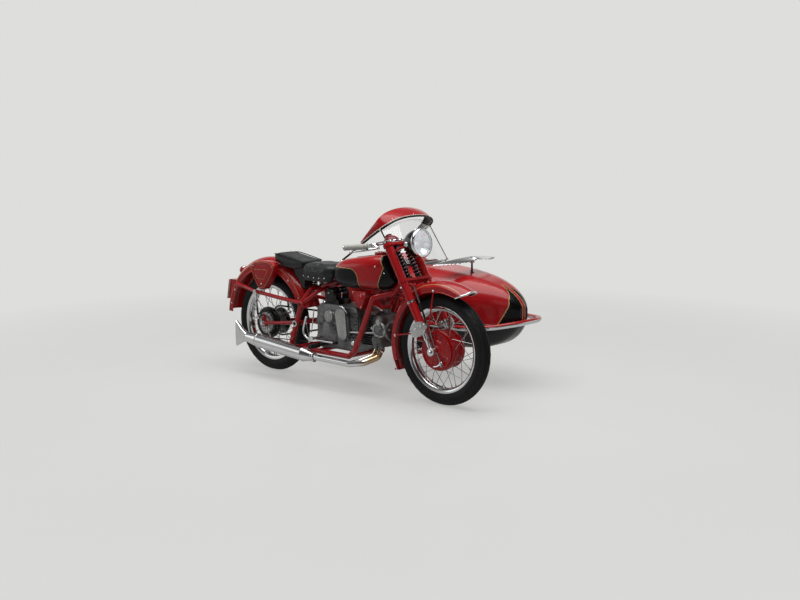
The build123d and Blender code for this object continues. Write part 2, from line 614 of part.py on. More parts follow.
with BuildPart() as fork_sliders:
    for side in SIDES:
        rod(leg_point(FORK_TUBE_LOW - GAP, side), leg_point(TYRE_R, side), SLIDER_R)
        rod((FRONT_X, side * (FORK_HALF - 20), TYRE_R), (FRONT_X, side * (FORK_HALF + 16), TYRE_R), 24)
        rod(leg_point(455, side), leg_point(455, side) + Vector(-20, side * 22, -4), 12)
    rod((FRONT_X, -FORK_HALF - 24, TYRE_R), (FRONT_X, FORK_HALF + 24, TYRE_R), AXLE_R)
    rod((FRONT_X, -70, TYRE_R), (FRONT_X, -64, TYRE_R), FRONT_DRUM_R - 8)
    rod((1345, -86, 703 - 12), (FRONT_X + 6, -86, TYRE_R + 10), 5)
    add(fork.part, mode=Mode.SUBTRACT)
finish(fork_sliders, "fork_sliders")

with BuildPart() as front_guard_seated:
    add(front_mudguard.part)
    for side in SIDES:
        rod((1478, side * 69, 678), leg_point(400, side, 4), 5)
        rod((1178, side * 69, 385), leg_point(438, side, 4), 5)
    rod((1268, 0, 655.5), (1254, 0, 697), 14)
    add(fork.part, mode=Mode.SUBTRACT)
    add(fork_sliders.part, mode=Mode.SUBTRACT)
finish(front_guard_seated, "front_mudguard")

# ---------------------------------------------------------------- sidecar shell
CAR = [                         # X, half width, low, high, lower corner radius, upper corner radius
    (-110, 120, 440, 560, 50, 50), (40, 225, 335, 680, 120, 110), (MOUNT_X[0], 290, 266, 738, 180, 60),
    (560, 300, 240, 755, 190, 45), (780, 300, 228, 738, 190, 50), (MOUNT_X[1], 290, 226, 722, 190, 110),
    (1250, 245, 230, 692, 170, 150), (1420, 180, 258, 650, 130, 120), (1540, 105, 330, 590, 80, 80),
    (1605, 40, 430, 520, 30, 30),
]


def car_loft(inset):
    """The body's outline, drawn in by the inset on every side."""
    sections = []
    for i, (x, half, low, high, low_r, high_r) in enumerate(CAR):
        if i == 0:
            x += inset
        if i == len(CAR) - 1:
            x -= inset
        with BuildSketch(Plane.YZ.offset(x)) as section:
            with Locations((CAR_Y, (low + high) / 2)):
                Rectangle(2 * (half - inset), high - low - 2 * inset)
            corners = section.vertices().group_by(Axis.Z)
            fillet(corners[0], low_r - inset)
            fillet(corners[-1], high_r - inset)
        sections.append(section.sketch)
    return loft(sections)


with BuildPart() as car_inside:
    car_loft(CAR_WALL)

with BuildPart() as car_shell:
    car_loft(0)
    add(car_inside.part, mode=Mode.SUBTRACT)
    with BuildSketch(Plane.XY.offset(600)) as mouth:
        with Locations(((COCKPIT_REAR + COCKPIT_FRONT) / 2, CAR_Y)):
            RectangleRounded(COCKPIT_FRONT - COCKPIT_REAR, 2 * COCKPIT_HALF, 120)
    extrude(mouth.sketch, amount=300, mode=Mode.SUBTRACT)

with BuildPart() as sidecar_body:
    add(car_shell.part)
    split(bisect_by=Plane.XY.offset(CAR_SPLIT_Z), keep=Keep.TOP)
finish(sidecar_body, "sidecar_body")

with BuildPart() as sidecar_hull:
    add(car_shell.part)
    split(bisect_by=Plane.XY.offset(CAR_SPLIT_Z), keep=Keep.BOTTOM)
finish(sidecar_hull, "sidecar_hull")

with BuildPart() as sidecar_seat:
    car_loft(CAR_WALL + GAP)
    side_plate([(340, 200), (640, 200), (640, 440), (620, 455), (455, 435), (420, 700), (395, 715), (345, 690)],
               CAR_Y + 215, CAR_Y - 215, mode=Mode.INTERSECT)
finish(sidecar_seat, "sidecar_seat")

# ---------------------------------------------------------------- sidecar chassis
with BuildPart() as sidecar_chassis:
    for y in (CHASSIS_INNER_Y, CHASSIS_OUTER_Y):
        rod((-60, y, CHASSIS_Z), (1140, y, CHASSIS_Z), TUBE_R)
    for x, low, pad_r in ((MOUNT_X[0], CAR[2][2] - 1.9, 14), (MOUNT_X[1], CAR[5][2], 24)):
        tube([(x, CHASSIS_INNER_Y, CHASSIS_Z), (x, CHASSIS_INNER_Y + 40, CROSS_Z), (x, CHASSIS_OUTER_Y - 40, CROSS_Z),
              (x, CHASSIS_OUTER_Y, CHASSIS_Z)], CROSS_R, 45)
        for side in SIDES:
            rod((x, CAR_Y + side * 80, CROSS_Z), (x, CAR_Y + side * 80, low - GAP), pad_r)
    # wheel spindle
    rod((CAR_WHEEL_X, CHASSIS_OUTER_Y - 10, TYRE_R - 8), (CAR_WHEEL_X, CAR_WHEEL_Y - 66, TYRE_R), 26)
    rod((CAR_WHEEL_X, CHASSIS_OUTER_Y + 20, TYRE_R), (CAR_WHEEL_X, CAR_WHEEL_Y + CAR_AXLE_REACH, TYRE_R), AXLE_R)
    # struts to clamps on the motorcycle's frame
    for clamp, tube_y, end_x in (((950, 402), RAIL_HALF, 950), ((330, 300), UPRIGHT_Y, 330),
                                 ((385, 440), UPRIGHT_Y, 500), ((1022, 560), RAIL_HALF, 1080)):
        x, z = clamp
        face = tube_y + TUBE_R + GAP
        rod((x, face, z), (x, face + 28, z), 14)
        rod((x, face + 16, z), (end_x, CHASSIS_INNER_Y, CHASSIS_Z), 12)
finish(sidecar_chassis, "sidecar_chassis")

BUMPER_R = 17.0
with BuildPart() as sidecar_bumper:
    half = [(880, -330, 395), (1400, -328, 398), (1550, -245, 410), (1640, -100, 426)]
    near = [(x, CAR_Y + y, z) for x, y, z in half]
    far = [(x, CAR_Y - y, z) for x, y, z in reversed(half)]
    tube(near + far, BUMPER_R, 90)
    for side, rail_y in ((-1, CHASSIS_INNER_Y), (1, CHASSIS_OUTER_Y)):
        for x in (900, 1110):
            rod((x, rail_y, CHASSIS_Z + TUBE_R + GAP), (x, CAR_Y + side * 330, 390), 11)
finish(sidecar_bumper, "sidecar_bumper")

with BuildPart() as sidecar_mudguard:
    mudguard(CAR_GUARD_C, CAR_GUARD, 20, 172)
    for start, end in (((-40, CHASSIS_OUTER_Y, CHASSIS_Z + TUBE_R + 3.3), (-92, CAR_WHEEL_Y - CAR_GUARD[1] + 2, 508)),
                       ((430, CHASSIS_OUTER_Y, CHASSIS_Z + TUBE_R + 3.3), (478, CAR_WHEEL_Y - CAR_GUARD[1] + 2, 565))):
        rod(start, end, 8)
finish(sidecar_mudguard, "sidecar_mudguard")

# ---------------------------------------------------------------- windscreen, hoop and visor
HOOP_R = 7.0
SCREEN_BASE_X, SCREEN_BASE_Z, SCREEN_HALF, SCREEN_BOW = 780.0, 738.0, 245.0, 88.0
HOOP = [                        # half width, front edge X and Z, rear edge X and Z of the visor
    (252, 455, 853, 442, 866), (250, 540, 908, 505, 932), (245, 622, 959, 566, 996), (222, 668, 992, 594, 1040),
    (170, 694, 1020, 603, 1068), (90, 706, 1036, 604, 1086), (0, 710, 1040, 603, 1092),
]
PILLAR_TOP = HOOP[2]


def mirrored(points):
    """Points from one foot to the top, carried on down to the other foot, about the sidecar's middle."""
    near = [(x, CAR_Y - half, z) for half, x, z in points]
    return near + [(x, CAR_Y + half, z) for half, x, z in reversed(points) if half]


with BuildPart() as windscreen_frame:
    with BuildLine() as arch:
        Spline(*mirrored([(250, 262, 731)] + [(half, x, z) for half, x, z, _, _ in HOOP]))
    with BuildSketch(Plane(origin=arch.line @ 0, z_dir=arch.line % 0)) as section:
        Circle(HOOP_R)
    sweep(section.sketch, path=arch.wire())
    for side in SIDES:
        y = CAR_Y + side * SCREEN_HALF
        rod((SCREEN_BASE_X, y, SCREEN_BASE_Z), (PILLAR_TOP[1], y, PILLAR_TOP[2]), 5)
    with BuildLine() as strip:
        ThreePointArc((SCREEN_BASE_X, CAR_Y - SCREEN_HALF, SCREEN_BASE_Z),
                      (SCREEN_BASE_X + SCREEN_BOW, CAR_Y, SCREEN_BASE_Z - 6),
                      (SCREEN_BASE_X, CAR_Y + SCREEN_HALF, SCREEN_BASE_Z))
    with BuildSketch(Plane(origin=strip.line @ 0, z_dir=strip.line % 0)) as section:
        Circle(8)
    sweep(section.sketch, path=strip.wire())
    add(sidecar_body.part, mode=Mode.SUBTRACT)
finish(windscreen_frame, "windscreen_frame")


def bow(origin, forward, half, depth, thick):
    """A thin bowed strip, its ends at the origin's X and its middle forward of them."""
    forward = Vector(*forward)
    with BuildSketch(Plane(origin=origin, x_dir=forward, z_dir=forward.cross(Vector(0, 1, 0)))) as section:
        with BuildLine():
            ThreePointArc((0, -half), (depth, 0), (0, half))
            Line((0, half), (-thick, half))
            ThreePointArc((-thick, half), (depth - thick, 0), (-thick, -half))
            Line((-thick, -half), (0, -half))
        make_face()
    return section.sketch


with BuildPart() as windscreen:
    loft([bow((SCREEN_BASE_X, CAR_Y, SCREEN_BASE_Z + 5), (SCREEN_BOW, 0, -6), SCREEN_HALF, SCREEN_BOW, 4),
          bow((PILLAR_TOP[1] + 3, CAR_Y, PILLAR_TOP[2] - 4), (66, 0, 66), SCREEN_HALF - 2, 90, 4)], ruled=True)
    add(windscreen_frame.part, mode=Mode.SUBTRACT)
    add(sidecar_body.part, mode=Mode.SUBTRACT)
finish(windscreen, "windscreen")

VISOR_ROWS = 29
with BuildLine() as visor_front:
    Spline(*mirrored([(half, x, z) for half, x, z, _, _ in HOOP]))
with BuildLine() as visor_rear:
    Spline(*mirrored([(half, x, z) for half, _, _, x, z in HOOP]))
with BuildPart() as sun_visor:
    sections = []
    for i in range(VISOR_ROWS):
        front, rear = visor_front.line @ (i / (VISOR_ROWS - 1)), visor_rear.line @ (i / (VISOR_ROWS - 1))
        along = visor_front.line % (i / (VISOR_ROWS - 1))
        back = (rear - front) - along * (rear - front).dot(along)
        edge = front + back.normalized() * (HOOP_R + 0.4)
        with BuildSketch(Plane(origin=edge, x_dir=rear - edge, z_dir=along)) as section:
            Rectangle(max((rear - edge).length, 6), 4, align=(Align.MIN, Align.CENTER))
        sections.append(section.sketch)
    loft(sections, ruled=True)
finish(sun_visor, "sun_visor")

# winged ornament on the front deck
ORNAMENT_X, ORNAMENT_Z = 1194.0, 786.0
with BuildPart() as nose_ornament:
    rod((ORNAMENT_X, CAR_Y, 697), (ORNAMENT_X, CAR_Y, ORNAMENT_Z), 7)
    rod((ORNAMENT_X - 26, CAR_Y, ORNAMENT_Z - 4), (ORNAMENT_X + 40, CAR_Y, ORNAMENT_Z + 2), 13)
    droop = radians(7)
    wing = [(34, 0), (40, 90), (30, 190), (6, 270), (-38, 316), (-60, 306), (-50, 220), (-38, 120), (-26, 0)]
    for side in SIDES:
        tilted = Plane(origin=(ORNAMENT_X, CAR_Y, ORNAMENT_Z), x_dir=(1, 0, 0), z_dir=(0, side * sin(droop), cos(droop)))
        with BuildSketch(tilted) as wings:
            with BuildLine():
                Polyline(*[(x, side * y) for x, y in wing], close=True)
            make_face()
        extrude(wings.sketch, amount=5)
    add(sidecar_body.part, mode=Mode.SUBTRACT)
finish(nose_ornament, "nose_ornament")
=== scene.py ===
"""Motorcycle with sidecar: materials, detailed pieces, studio and camera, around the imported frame."""
import json
from math import acos, atan2, copysign, cos, degrees, hypot, pi, radians, sin, sqrt, tan

import bmesh
import bpy
from mathutils import Matrix, Vector


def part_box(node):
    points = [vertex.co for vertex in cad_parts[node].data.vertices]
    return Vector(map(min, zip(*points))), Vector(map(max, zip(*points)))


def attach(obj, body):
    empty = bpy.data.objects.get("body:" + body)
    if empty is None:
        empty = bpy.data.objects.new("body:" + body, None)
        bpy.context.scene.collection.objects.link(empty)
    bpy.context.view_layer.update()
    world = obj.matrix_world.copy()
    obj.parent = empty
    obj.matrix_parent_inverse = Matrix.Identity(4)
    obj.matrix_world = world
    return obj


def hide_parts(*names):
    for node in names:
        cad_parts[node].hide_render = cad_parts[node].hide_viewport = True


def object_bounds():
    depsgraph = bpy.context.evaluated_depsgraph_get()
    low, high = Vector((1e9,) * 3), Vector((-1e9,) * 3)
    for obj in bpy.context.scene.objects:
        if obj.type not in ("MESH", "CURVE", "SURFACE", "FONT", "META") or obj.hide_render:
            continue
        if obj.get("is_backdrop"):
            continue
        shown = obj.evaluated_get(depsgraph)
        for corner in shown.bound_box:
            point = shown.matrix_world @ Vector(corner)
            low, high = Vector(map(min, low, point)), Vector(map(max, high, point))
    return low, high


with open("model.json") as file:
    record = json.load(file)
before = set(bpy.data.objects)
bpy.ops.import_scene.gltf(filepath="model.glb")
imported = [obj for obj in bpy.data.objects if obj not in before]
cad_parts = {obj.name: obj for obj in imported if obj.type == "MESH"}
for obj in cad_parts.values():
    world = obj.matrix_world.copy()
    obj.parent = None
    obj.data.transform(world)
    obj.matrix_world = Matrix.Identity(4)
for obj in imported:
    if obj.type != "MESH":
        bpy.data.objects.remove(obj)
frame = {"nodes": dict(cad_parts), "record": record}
CAD_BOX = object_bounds()

# ---------------------------------------------------------------- places
# Station coordinates are millimetres: X forward from the rear axle, Y to the left from the motorcycle's
# middle plane, Z up from the floor. P() turns them into metres in the part's frame.
MM = 0.001
TYRE_LOW, TYRE_HIGH = (Vector(corner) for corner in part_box("rear_tyre"))
ORIGIN = Vector(((TYRE_LOW.x + TYRE_HIGH.x) / 2, (TYRE_LOW.y + TYRE_HIGH.y) / 2, 0.0))
BODY_OF = {node: body for body, nodes in frame["record"]["behaviour"]["bodies"].items() for node in nodes}
LEFT, RIGHT, AHEAD, UP, DOWN = (0, 1, 0), (0, -1, 0), (1, 0, 0), (0, 0, 1), (0, 0, -1)

FRONT_X, AXLE_Z = 1500, 330
FRONT_AXLE, REAR_AXLE, CAR_AXLE = (FRONT_X, 0, AXLE_Z), (0, 0, AXLE_Z), (210, 1130, AXLE_Z)
CAR_Y = 640
PIPE_Y = -190

# The fork legs lean back from the front axle; the steering axis runs behind them, and the yokes square to it.
LEG_Y = 105
LEAN = radians(30)
FORK_OFFSET = 60
YOKE_UP, YOKE_FORWARD = Vector((-sin(LEAN), 0, cos(LEAN))), Vector((cos(LEAN), 0, sin(LEAN)))

# Mudguards: crown radius, half width and the radius of the lower edge, then the middle of those circles.
FRONT_GUARD, FRONT_GUARD_C = (392, 70, 325), (1505, 0, 345)
REAR_GUARD, REAR_GUARD_C = (432, 76, 352), (0, 0, 340)
CAR_GUARD, CAR_GUARD_C = (388, 70, 335), (210, 1130, 340)
# The front guard starts at this angle, and opens outward over the next degrees by up to so much.
FRONT_GUARD_START, FLARE_ANGLE, FLARE = 59.5, 26.0, 6.0

# The windscreen's hoop and the visor's rear edge, from one foot to the top: half width, X and Z.
HOOP_FRONT = [(252, 455, 853), (250, 540, 908), (245, 622, 959), (222, 668, 992), (170, 694, 1020),
              (90, 706, 1036), (0, 710, 1040)]
HOOP_REAR = [(252, 442, 866), (250, 505, 932), (245, 566, 996), (222, 594, 1040), (170, 603, 1068),
             (90, 604, 1086), (0, 603, 1092)]
# The corners of a rounded rectangle in turn, each with the angle that its arc starts at.
CORNERS = ((1, 1, 0), (-1, 1, 90), (-1, -1, 180), (1, -1, 270))

CAMERA_AT_MM = (5349.5, -4579.4, 1503.8)
CAMERA_FORWARD = Vector((-0.6683, 0.7294, -0.1460)).normalized()
CAMERA_UP = Vector((-0.0955, 0.1105, 0.9893))
LENS_MM = 47.01
MIDDLE = Vector((0.0, 0.0, 0.5))
BACKDROP = (0.73, 0.73, 0.71)


def P(x, y, z):
    return ORIGIN + Vector((x, y, z)) * MM


# ---------------------------------------------------------------- node materials
class Nodes:
    """A small builder for a node tree."""

    def __init__(self, tree):
        self.tree = tree

    def node(self, kind, inputs=None, **attrs):
        node = self.tree.nodes.new(kind)
        for key, value in attrs.items():
            setattr(node, key, value)
        for key, value in (inputs or {}).items():
            self.put(node.inputs[key], value)
        return node

    def put(self, socket, value):
        """Links a socket's value, or sets a plain one; colours are given without their alpha."""
        if isinstance(value, bpy.types.NodeSocket):
            self.tree.links.new(value, socket)
        elif socket.type == "RGBA":
            socket.default_value = (*value, 1.0)
        else:
            socket.default_value = value

    def span(self, value, low, high, to_low, to_high):
        """The value's place between low and high, carried to the same place in another range."""
        inputs = {"Value": value, "From Min": low, "From Max": high, "To Min": to_low, "To Max": to_high}
        return self.node("ShaderNodeMapRange", inputs).outputs["Result"]

    def mix(self, fac, a, b):
        """Colour a where fac is 0, and colour b where it is 1."""
        node = self.node("ShaderNodeMix", data_type="RGBA")
        self.put(node.inputs["Factor"], fac)
        self.put(node.inputs[6], a)
        self.put(node.inputs[7], b)
        return node.outputs[2]

    def math(self, operation, a, b=0.0):
        return self.node("ShaderNodeMath", {0: a, 1: b}, operation=operation).outputs[0]

    def add(self, a, b):
        return self.math("ADD", a, b)

    def less(self, a, b):
        return self.math("SUBTRACT", a, b)

    def times(self, a, b):
        return self.math("MULTIPLY", a, b)

    def most(self, a, b):
        return self.math("MAXIMUM", a, b)

    def least(self, a, b):
        return self.math("MINIMUM", a, b)

    def size(self, a):
        return self.math("ABSOLUTE", a)

    def reach(self, a, b):
        """The length of a line that runs a one way and b square to it."""
        return self.math("SQRT", self.add(self.times(a, a), self.times(b, b)))

    def ramp(self, fac, stops):
        """A colour ramp through (place, colour) stops."""
        node = self.node("ShaderNodeValToRGB", {"Fac": fac})
        elements = node.color_ramp.elements
        while len(elements) < len(stops):
            elements.new(0.5)
        for element, (place, color) in zip(elements, stops):
            element.position, element.color = place, (*color, 1.0)
        return node.outputs["Color"]

    def blend(self, fac, a, b):
        """Shader a where fac is 0, and shader b where it is 1."""
        return self.node("ShaderNodeMixShader", {"Fac": fac, 1: a, 2: b}).outputs[0]


class Shader(Nodes):
    """A principled material."""

    def __init__(self, name, color, roughness=0.5, metallic=0.0, **sockets):
        self.mat = bpy.data.materials.new(name)
        self.mat.use_nodes = True
        super().__init__(self.mat.node_tree)
        self.bsdf = self.tree.nodes["Principled BSDF"]
        self.color(color)
        self.rough(roughness)
        self.put(self.bsdf.inputs["Metallic"], metallic)
        for key, value in sockets.items():
            self.put(self.bsdf.inputs[key.replace("_", " ")], value)

    def coords(self):
        return self.node("ShaderNodeTexCoord").outputs["Object"]

    def axes(self):
        """The surface point's X, Y and Z in station millimetres."""
        xyz = self.node("ShaderNodeSeparateXYZ", {"Vector": self.coords()})
        return [self.times(self.less(xyz.outputs[k], ORIGIN[k]), 1 / MM) for k in range(3)]

    def noise(self, scale, detail=3.0, rough=0.5):
        inputs = {"Scale": scale, "Detail": detail, "Roughness": rough, "Vector": self.coords()}
        return self.node("ShaderNodeTexNoise", inputs).outputs["Fac"]

    def cloud(self, scale, detail, low, high, to_low, to_high, rough=0.5):
        """Noise, stretched to a range."""
        return self.span(self.noise(scale, detail, rough), low, high, to_low, to_high)

    def bump(self, height, strength, distance):
        node = self.node("ShaderNodeBump", {"Height": height, "Strength": strength, "Distance": distance})
        self.put(self.bsdf.inputs["Normal"], node.outputs["Normal"])

    def color(self, value):
        self.put(self.bsdf.inputs["Base Color"], value)

    def rough(self, value):
        self.put(self.bsdf.inputs["Roughness"], value)


RED_TONES = ((0.46, 0.009, 0.012), (0.36, 0.007, 0.010))
BLACK_TONES = ((0.0035, 0.0035, 0.004), (0.006, 0.006, 0.006))
GOLD_TONE = (0.55, 0.33, 0.12)
PANEL_GOLD = (0.60, 0.38, 0.16)
CHROME_TONE = (0.78, 0.79, 0.8)
FULL_COAT = 0.6


def gloss(name, tone, darker):
    """A glossy coat: the shader, and its clouded colour for the caller to paint on."""
    m = Shader(name, tone, 0.28, Coat_Weight=FULL_COAT, Coat_Roughness=0.05, Coat_IOR=1.45,
               Specular_IOR_Level=0.15)
    m.rough(m.cloud(12.0, 3.0, 0.3, 0.75, 0.24, 0.32))
    m.bump(m.noise(900.0, 2.0), 0.02, 0.0004)
    return m, m.mix(m.cloud(6.0, 4.0, 0.35, 0.7, 0.0, 0.5), tone, darker)


def gloss_paint(name, tones):
    m, clouded = gloss(name, *tones)
    m.color(clouded)
    return m.mat


def chrome(name, color=CHROME_TONE):
    m = Shader(name, color, 0.08, 1.0)
    m.rough(m.cloud(40.0, 6.0, 0.35, 0.8, 0.05, 0.2))
    m.color(m.mix(m.cloud(9.0, 3.0, 0.45, 0.8, 0.0, 0.35), color, (0.5, 0.49, 0.46)))
    return m.mat


def cast_metal(name, color, dirt, grain=420.0, rough=0.48):
    m = Shader(name, color, rough, 0.9)
    m.color(m.mix(m.cloud(14.0, 6.0, 0.4, 0.75, 0.0, 1.0, 0.65), color, dirt))
    m.rough(m.cloud(70.0, 4.0, 0.3, 0.7, rough - 0.1, rough + 0.2))
    m.bump(m.noise(grain, 4.0), 0.25, 0.0006)
    return m.mat


def rubber(name, color=(0.007, 0.007, 0.0075), rough=0.6):
    m = Shader(name, color, rough, Specular_IOR_Level=0.3)
    m.color(m.mix(m.cloud(18.0, 6.0, 0.45, 0.8, 0.0, 0.5, 0.6), color, (0.022, 0.021, 0.02)))
    m.bump(m.noise(600.0, 3.0), 0.2, 0.0004)
    return m.mat


def leather(name, color, high):
    m = Shader(name, color, 0.42, Specular_IOR_Level=0.45)
    cells = m.node("ShaderNodeTexVoronoi", {"Scale": 420.0, "Vector": m.coords()}, feature="DISTANCE_TO_EDGE")
    m.color(m.mix(m.cloud(7.0, 5.0, 0.4, 0.75, 0.0, 0.6), color, high))
    m.rough(m.cloud(30.0, 4.0, 0.3, 0.7, 0.34, 0.55))
    m.bump(m.add(m.least(cells.outputs["Distance"], 0.35), m.times(m.noise(60.0, 4.0), 0.6)), 0.35, 0.0008)
    return m.mat


def plain(name, color, rough=0.4, metallic=0.0, **sockets):
    m = Shader(name, color, rough, metallic, **sockets)
    shade = tuple(c * 0.7 for c in color)
    m.color(m.mix(m.cloud(12.0, 4.0, 0.4, 0.8, 0.0, 0.5), color, shade))
    m.bump(m.noise(300.0, 3.0), 0.08, 0.0005)
    return m.mat


def glass(name, color, rough=0.02):
    m = Shader(name, color, rough, Transmission_Weight=1.0, IOR=1.45)
    m.rough(m.cloud(25.0, 5.0, 0.4, 0.8, rough, rough + 0.06))
    return m.mat


def lamp_pane():
    """Fluted clear glass: mostly open to light, with a pale sheen."""
    m = Shader("lamp_pane", (0.9, 0.93, 0.95), 0.08, Alpha=0.2)
    m.rough(m.cloud(30.0, 4.0, 0.35, 0.75, 0.05, 0.16))
    m.color(m.mix(m.cloud(9.0, 3.0, 0.4, 0.7, 0.0, 1.0), (0.92, 0.95, 0.97), (0.8, 0.84, 0.87)))
    return m.mat


def pipe_chrome():
    """Chrome that is straw and blue where the headers run hot."""
    m = Shader("heated_chrome", CHROME_TONE, 0.1, 1.0)
    ahead = m.axes()[0]
    straw = m.span(m.add(ahead, m.times(m.noise(20.0), 40.0)), 985.0, 1060.0, 0.0, 1.0)
    m.color(m.mix(straw, CHROME_TONE, (0.52, 0.36, 0.2)))
    m.rough(m.cloud(40.0, 6.0, 0.35, 0.8, 0.06, 0.24))
    return m.mat


def guard_paint(name, centre, radius, y_least):
    """Red paint with a gold line at a radius from the wheel's middle, on the sides only."""
    m, red = gloss(name, *RED_TONES)
    x, y, z = m.axes()
    off_line = m.size(m.less(m.reach(m.less(x, centre[0]), m.less(z, centre[2])), radius))
    on_side = m.span(m.size(y), y_least - 1, y_least, 0.0, 1.0)
    m.color(m.mix(m.times(m.span(off_line, 1.3, 1.9, 1.0, 0.0), on_side), red, GOLD_TONE))
    return m.mat


def panel_paint(m, red, edge, half_line):
    """Black where the edge's measure is below 0, red where it is above, and a gold line between them."""
    black = m.span(edge, -0.5, 0.5, 1.0, 0.0)
    gold = m.span(m.size(edge), half_line - 0.3, half_line + 0.3, 1.0, 0.0)
    m.put(m.bsdf.inputs["Coat Weight"], m.less(FULL_COAT, m.times(black, 0.42)))
    m.color(m.mix(gold, m.mix(black, red, BLACK_TONES[0]), PANEL_GOLD))
    return m.mat


def tank_paint():
    """Red middle panel between black ones, each edge followed by a gold line."""
    m, red = gloss("tank_paint", *RED_TONES)
    x, _, z = m.axes()
    rear = m.less(m.reach(m.most(m.less(x, 868.0), 0.0), m.most(m.less(z, 703.0), 0.0)), 65.0)
    lean = m.times(m.less(z, 646.0), 0.38)
    back = m.times(m.most(m.less(z, 786.0), 0.0), 0.95)
    front = m.times(m.less(m.add(m.less(lean, back), 1059.0), x), 0.935)
    return panel_paint(m, red, m.least(rear, front), 2.0)


def car_paint():
    """Red body with a black panel on each side of the nose, edged in gold, and a red stripe between them."""
    m, red = gloss("sidecar_paint", *RED_TONES)
    x, y, z = m.axes()
    down = m.less(660.0, z)
    half = m.least(m.times(down, 0.79), m.add(m.times(down, 0.356), 42.6))
    off = m.size(m.less(y, CAR_Y))
    across = m.most(m.less(off, half), m.less(14.0, off))
    return panel_paint(m, red, m.most(across, m.less(1330.0, x)), 2.2)


RED = gloss_paint("red_paint", RED_TONES)
DARK_RED = gloss_paint("dark_red_paint", ((0.2, 0.006, 0.01), (0.14, 0.005, 0.008)))
BLACK = gloss_paint("black_paint", BLACK_TONES)
FRONT_GUARD_RED = guard_paint("front_guard_paint", FRONT_GUARD_C, 371.0, 38.0)
REAR_GUARD_RED = guard_paint("rear_guard_paint", REAR_GUARD_C, 392.0, 62.0)
CHROME = chrome("chrome")
# Dark spring steel; its pink tint is a painted reflection of the red paint round it.
DARK_SPRING_PAINTED_REFLECTION = chrome("dark_spring_painted_reflection", (0.16, 0.10, 0.115))
ALLOY = cast_metal("cast_alloy", (0.27, 0.275, 0.28), (0.07, 0.07, 0.07))
ALLOY_BRIGHT = cast_metal("bright_alloy", (0.6, 0.6, 0.6), (0.4, 0.4, 0.39), 200.0, 0.3)
POLISHED = cast_metal("polished_alloy", (0.48, 0.48, 0.47), (0.3, 0.3, 0.29), 90.0, 0.3)
IRON = cast_metal("cast_iron", (0.09, 0.09, 0.095), (0.03, 0.03, 0.03))
TYRE = rubber("tyre_rubber")
RUBBER = rubber("black_rubber", (0.01, 0.01, 0.01), 0.5)
IVORY = plain("ivory_grip", (0.52, 0.51, 0.46), 0.5)
SEAT = leather("black_leather", (0.008, 0.009, 0.010), (0.02, 0.022, 0.024))
TRIM = leather("red_leather", (0.13, 0.006, 0.01), (0.2, 0.012, 0.016))
SCREEN = glass("clear_screen", (0.95, 0.96, 0.96))
LENS = glass("lamp_glass", (0.93, 0.95, 0.96), 0.03)
LAMP_PANE = lamp_pane()
# The reflector and bulb carry a painted glow: a faint emission that stands in for the bright reflections in
# the unlit lamp.
MIRROR_BOWL_PAINTED_GLOW = plain("mirror_bowl_painted_glow", (0.92, 0.94, 0.96), 0.16, 0.8, Emission_Color=(0.93, 0.96, 1.0),
                    Emission_Strength=0.3)
TAIL = plain("red_lens", (0.28, 0.008, 0.012), 0.15, Coat_Weight=0.6)
CREAM = plain("cream_line", (0.72, 0.68, 0.58), 0.3)
PLATE = plain("white_plate", (0.5, 0.5, 0.48), 0.35)
GOLD = plain("gold_line", GOLD_TONE, 0.35)
DARK_STEEL = plain("dark_steel", (0.06, 0.06, 0.062), 0.35, 0.9)
SPOKE_STEEL = plain("spoke_steel", (0.34, 0.34, 0.34), 0.25, 1.0)

LOOK_OF_SLOT = {
    "red_paint": RED, "black_paint": BLACK, "black_tube": BLACK, "chrome": CHROME, "alloy": ALLOY,
    "iron": IRON, "tyre_rubber": TYRE, "black_rubber": RUBBER, "ivory_grip": IVORY, "black_leather": SEAT,
    "red_leather": TRIM, "clear_screen": SCREEN, "lamp_glass": LENS, "red_lens": TAIL, "white_plate": PLATE,
}
LOOK_OF_NODE = {
    "fuel_tank": tank_paint(), "sidecar_body": car_paint(), "exhaust_pipe": pipe_chrome(),
    "steering_cap": DARK_RED,
}


def dress_nodes():
    """Gives every CAD node its finish."""
    for row in frame["record"]["subparts"]:
        materials = frame["nodes"][row["node"]].data.materials
        materials.clear()
        materials.append(LOOK_OF_NODE.get(row["node"], LOOK_OF_SLOT[row["material_slot"]]))


dress_nodes()


# ---------------------------------------------------------------- mesh building
def add_object(name, data):
    """A new object in the scene."""
    obj = bpy.data.objects.new(name, data)
    bpy.context.scene.collection.objects.link(obj)
    return obj


def smooth_path(points, steps=6, loop=False):
    """Catmull-Rom curve through the points."""
    pts = [Vector(p) for p in points]
    count = len(pts)
    out = []
    for i in range(count if loop else count - 1):
        if loop:
            a, b, c, d = (pts[(i + k - 1) % count] for k in range(4))
        else:
            b, c = pts[i], pts[i + 1]
            a = pts[i - 1] if i else b * 2 - c
            d = pts[i + 2] if i + 2 < count else c * 2 - b
        for k in range(steps):
            t = k / steps
            out.append(0.5 * ((2 * b) + (c - a) * t + (2 * a - 5 * b + 4 * c - d) * t * t
                              + (3 * b - a - 3 * c + d) * t ** 3))
    if not loop:
        out.append(pts[-1])
    return out


def filleted(points, radius, steps=8):
    """A polyline with its corners rounded."""
    pts = [Vector(p) for p in points]
    out = [pts[0]]
    for a, b, c in zip(pts, pts[1:], pts[2:]):
        back, ahead = (a - b).normalized(), (c - b).normalized()
        half = back.angle(ahead) / 2
        reach = min(radius / tan(half), 0.48 * (a - b).length, 0.48 * (c - b).length)
        start, end = b + back * reach, b + ahead * reach
        for k in range(steps + 1):
            t = k / steps
            out.append(start * (1 - t) ** 2 + b * 2 * t * (1 - t) + end * t * t)
    out.append(pts[-1])
    return out


def turn_about(axis):
    """Two unit directions square to the axis and to each other."""
    axis = Vector(axis).normalized()
    side = axis.orthogonal()
    side = (side - axis * side.dot(axis)).normalized()
    return side, axis.cross(side)


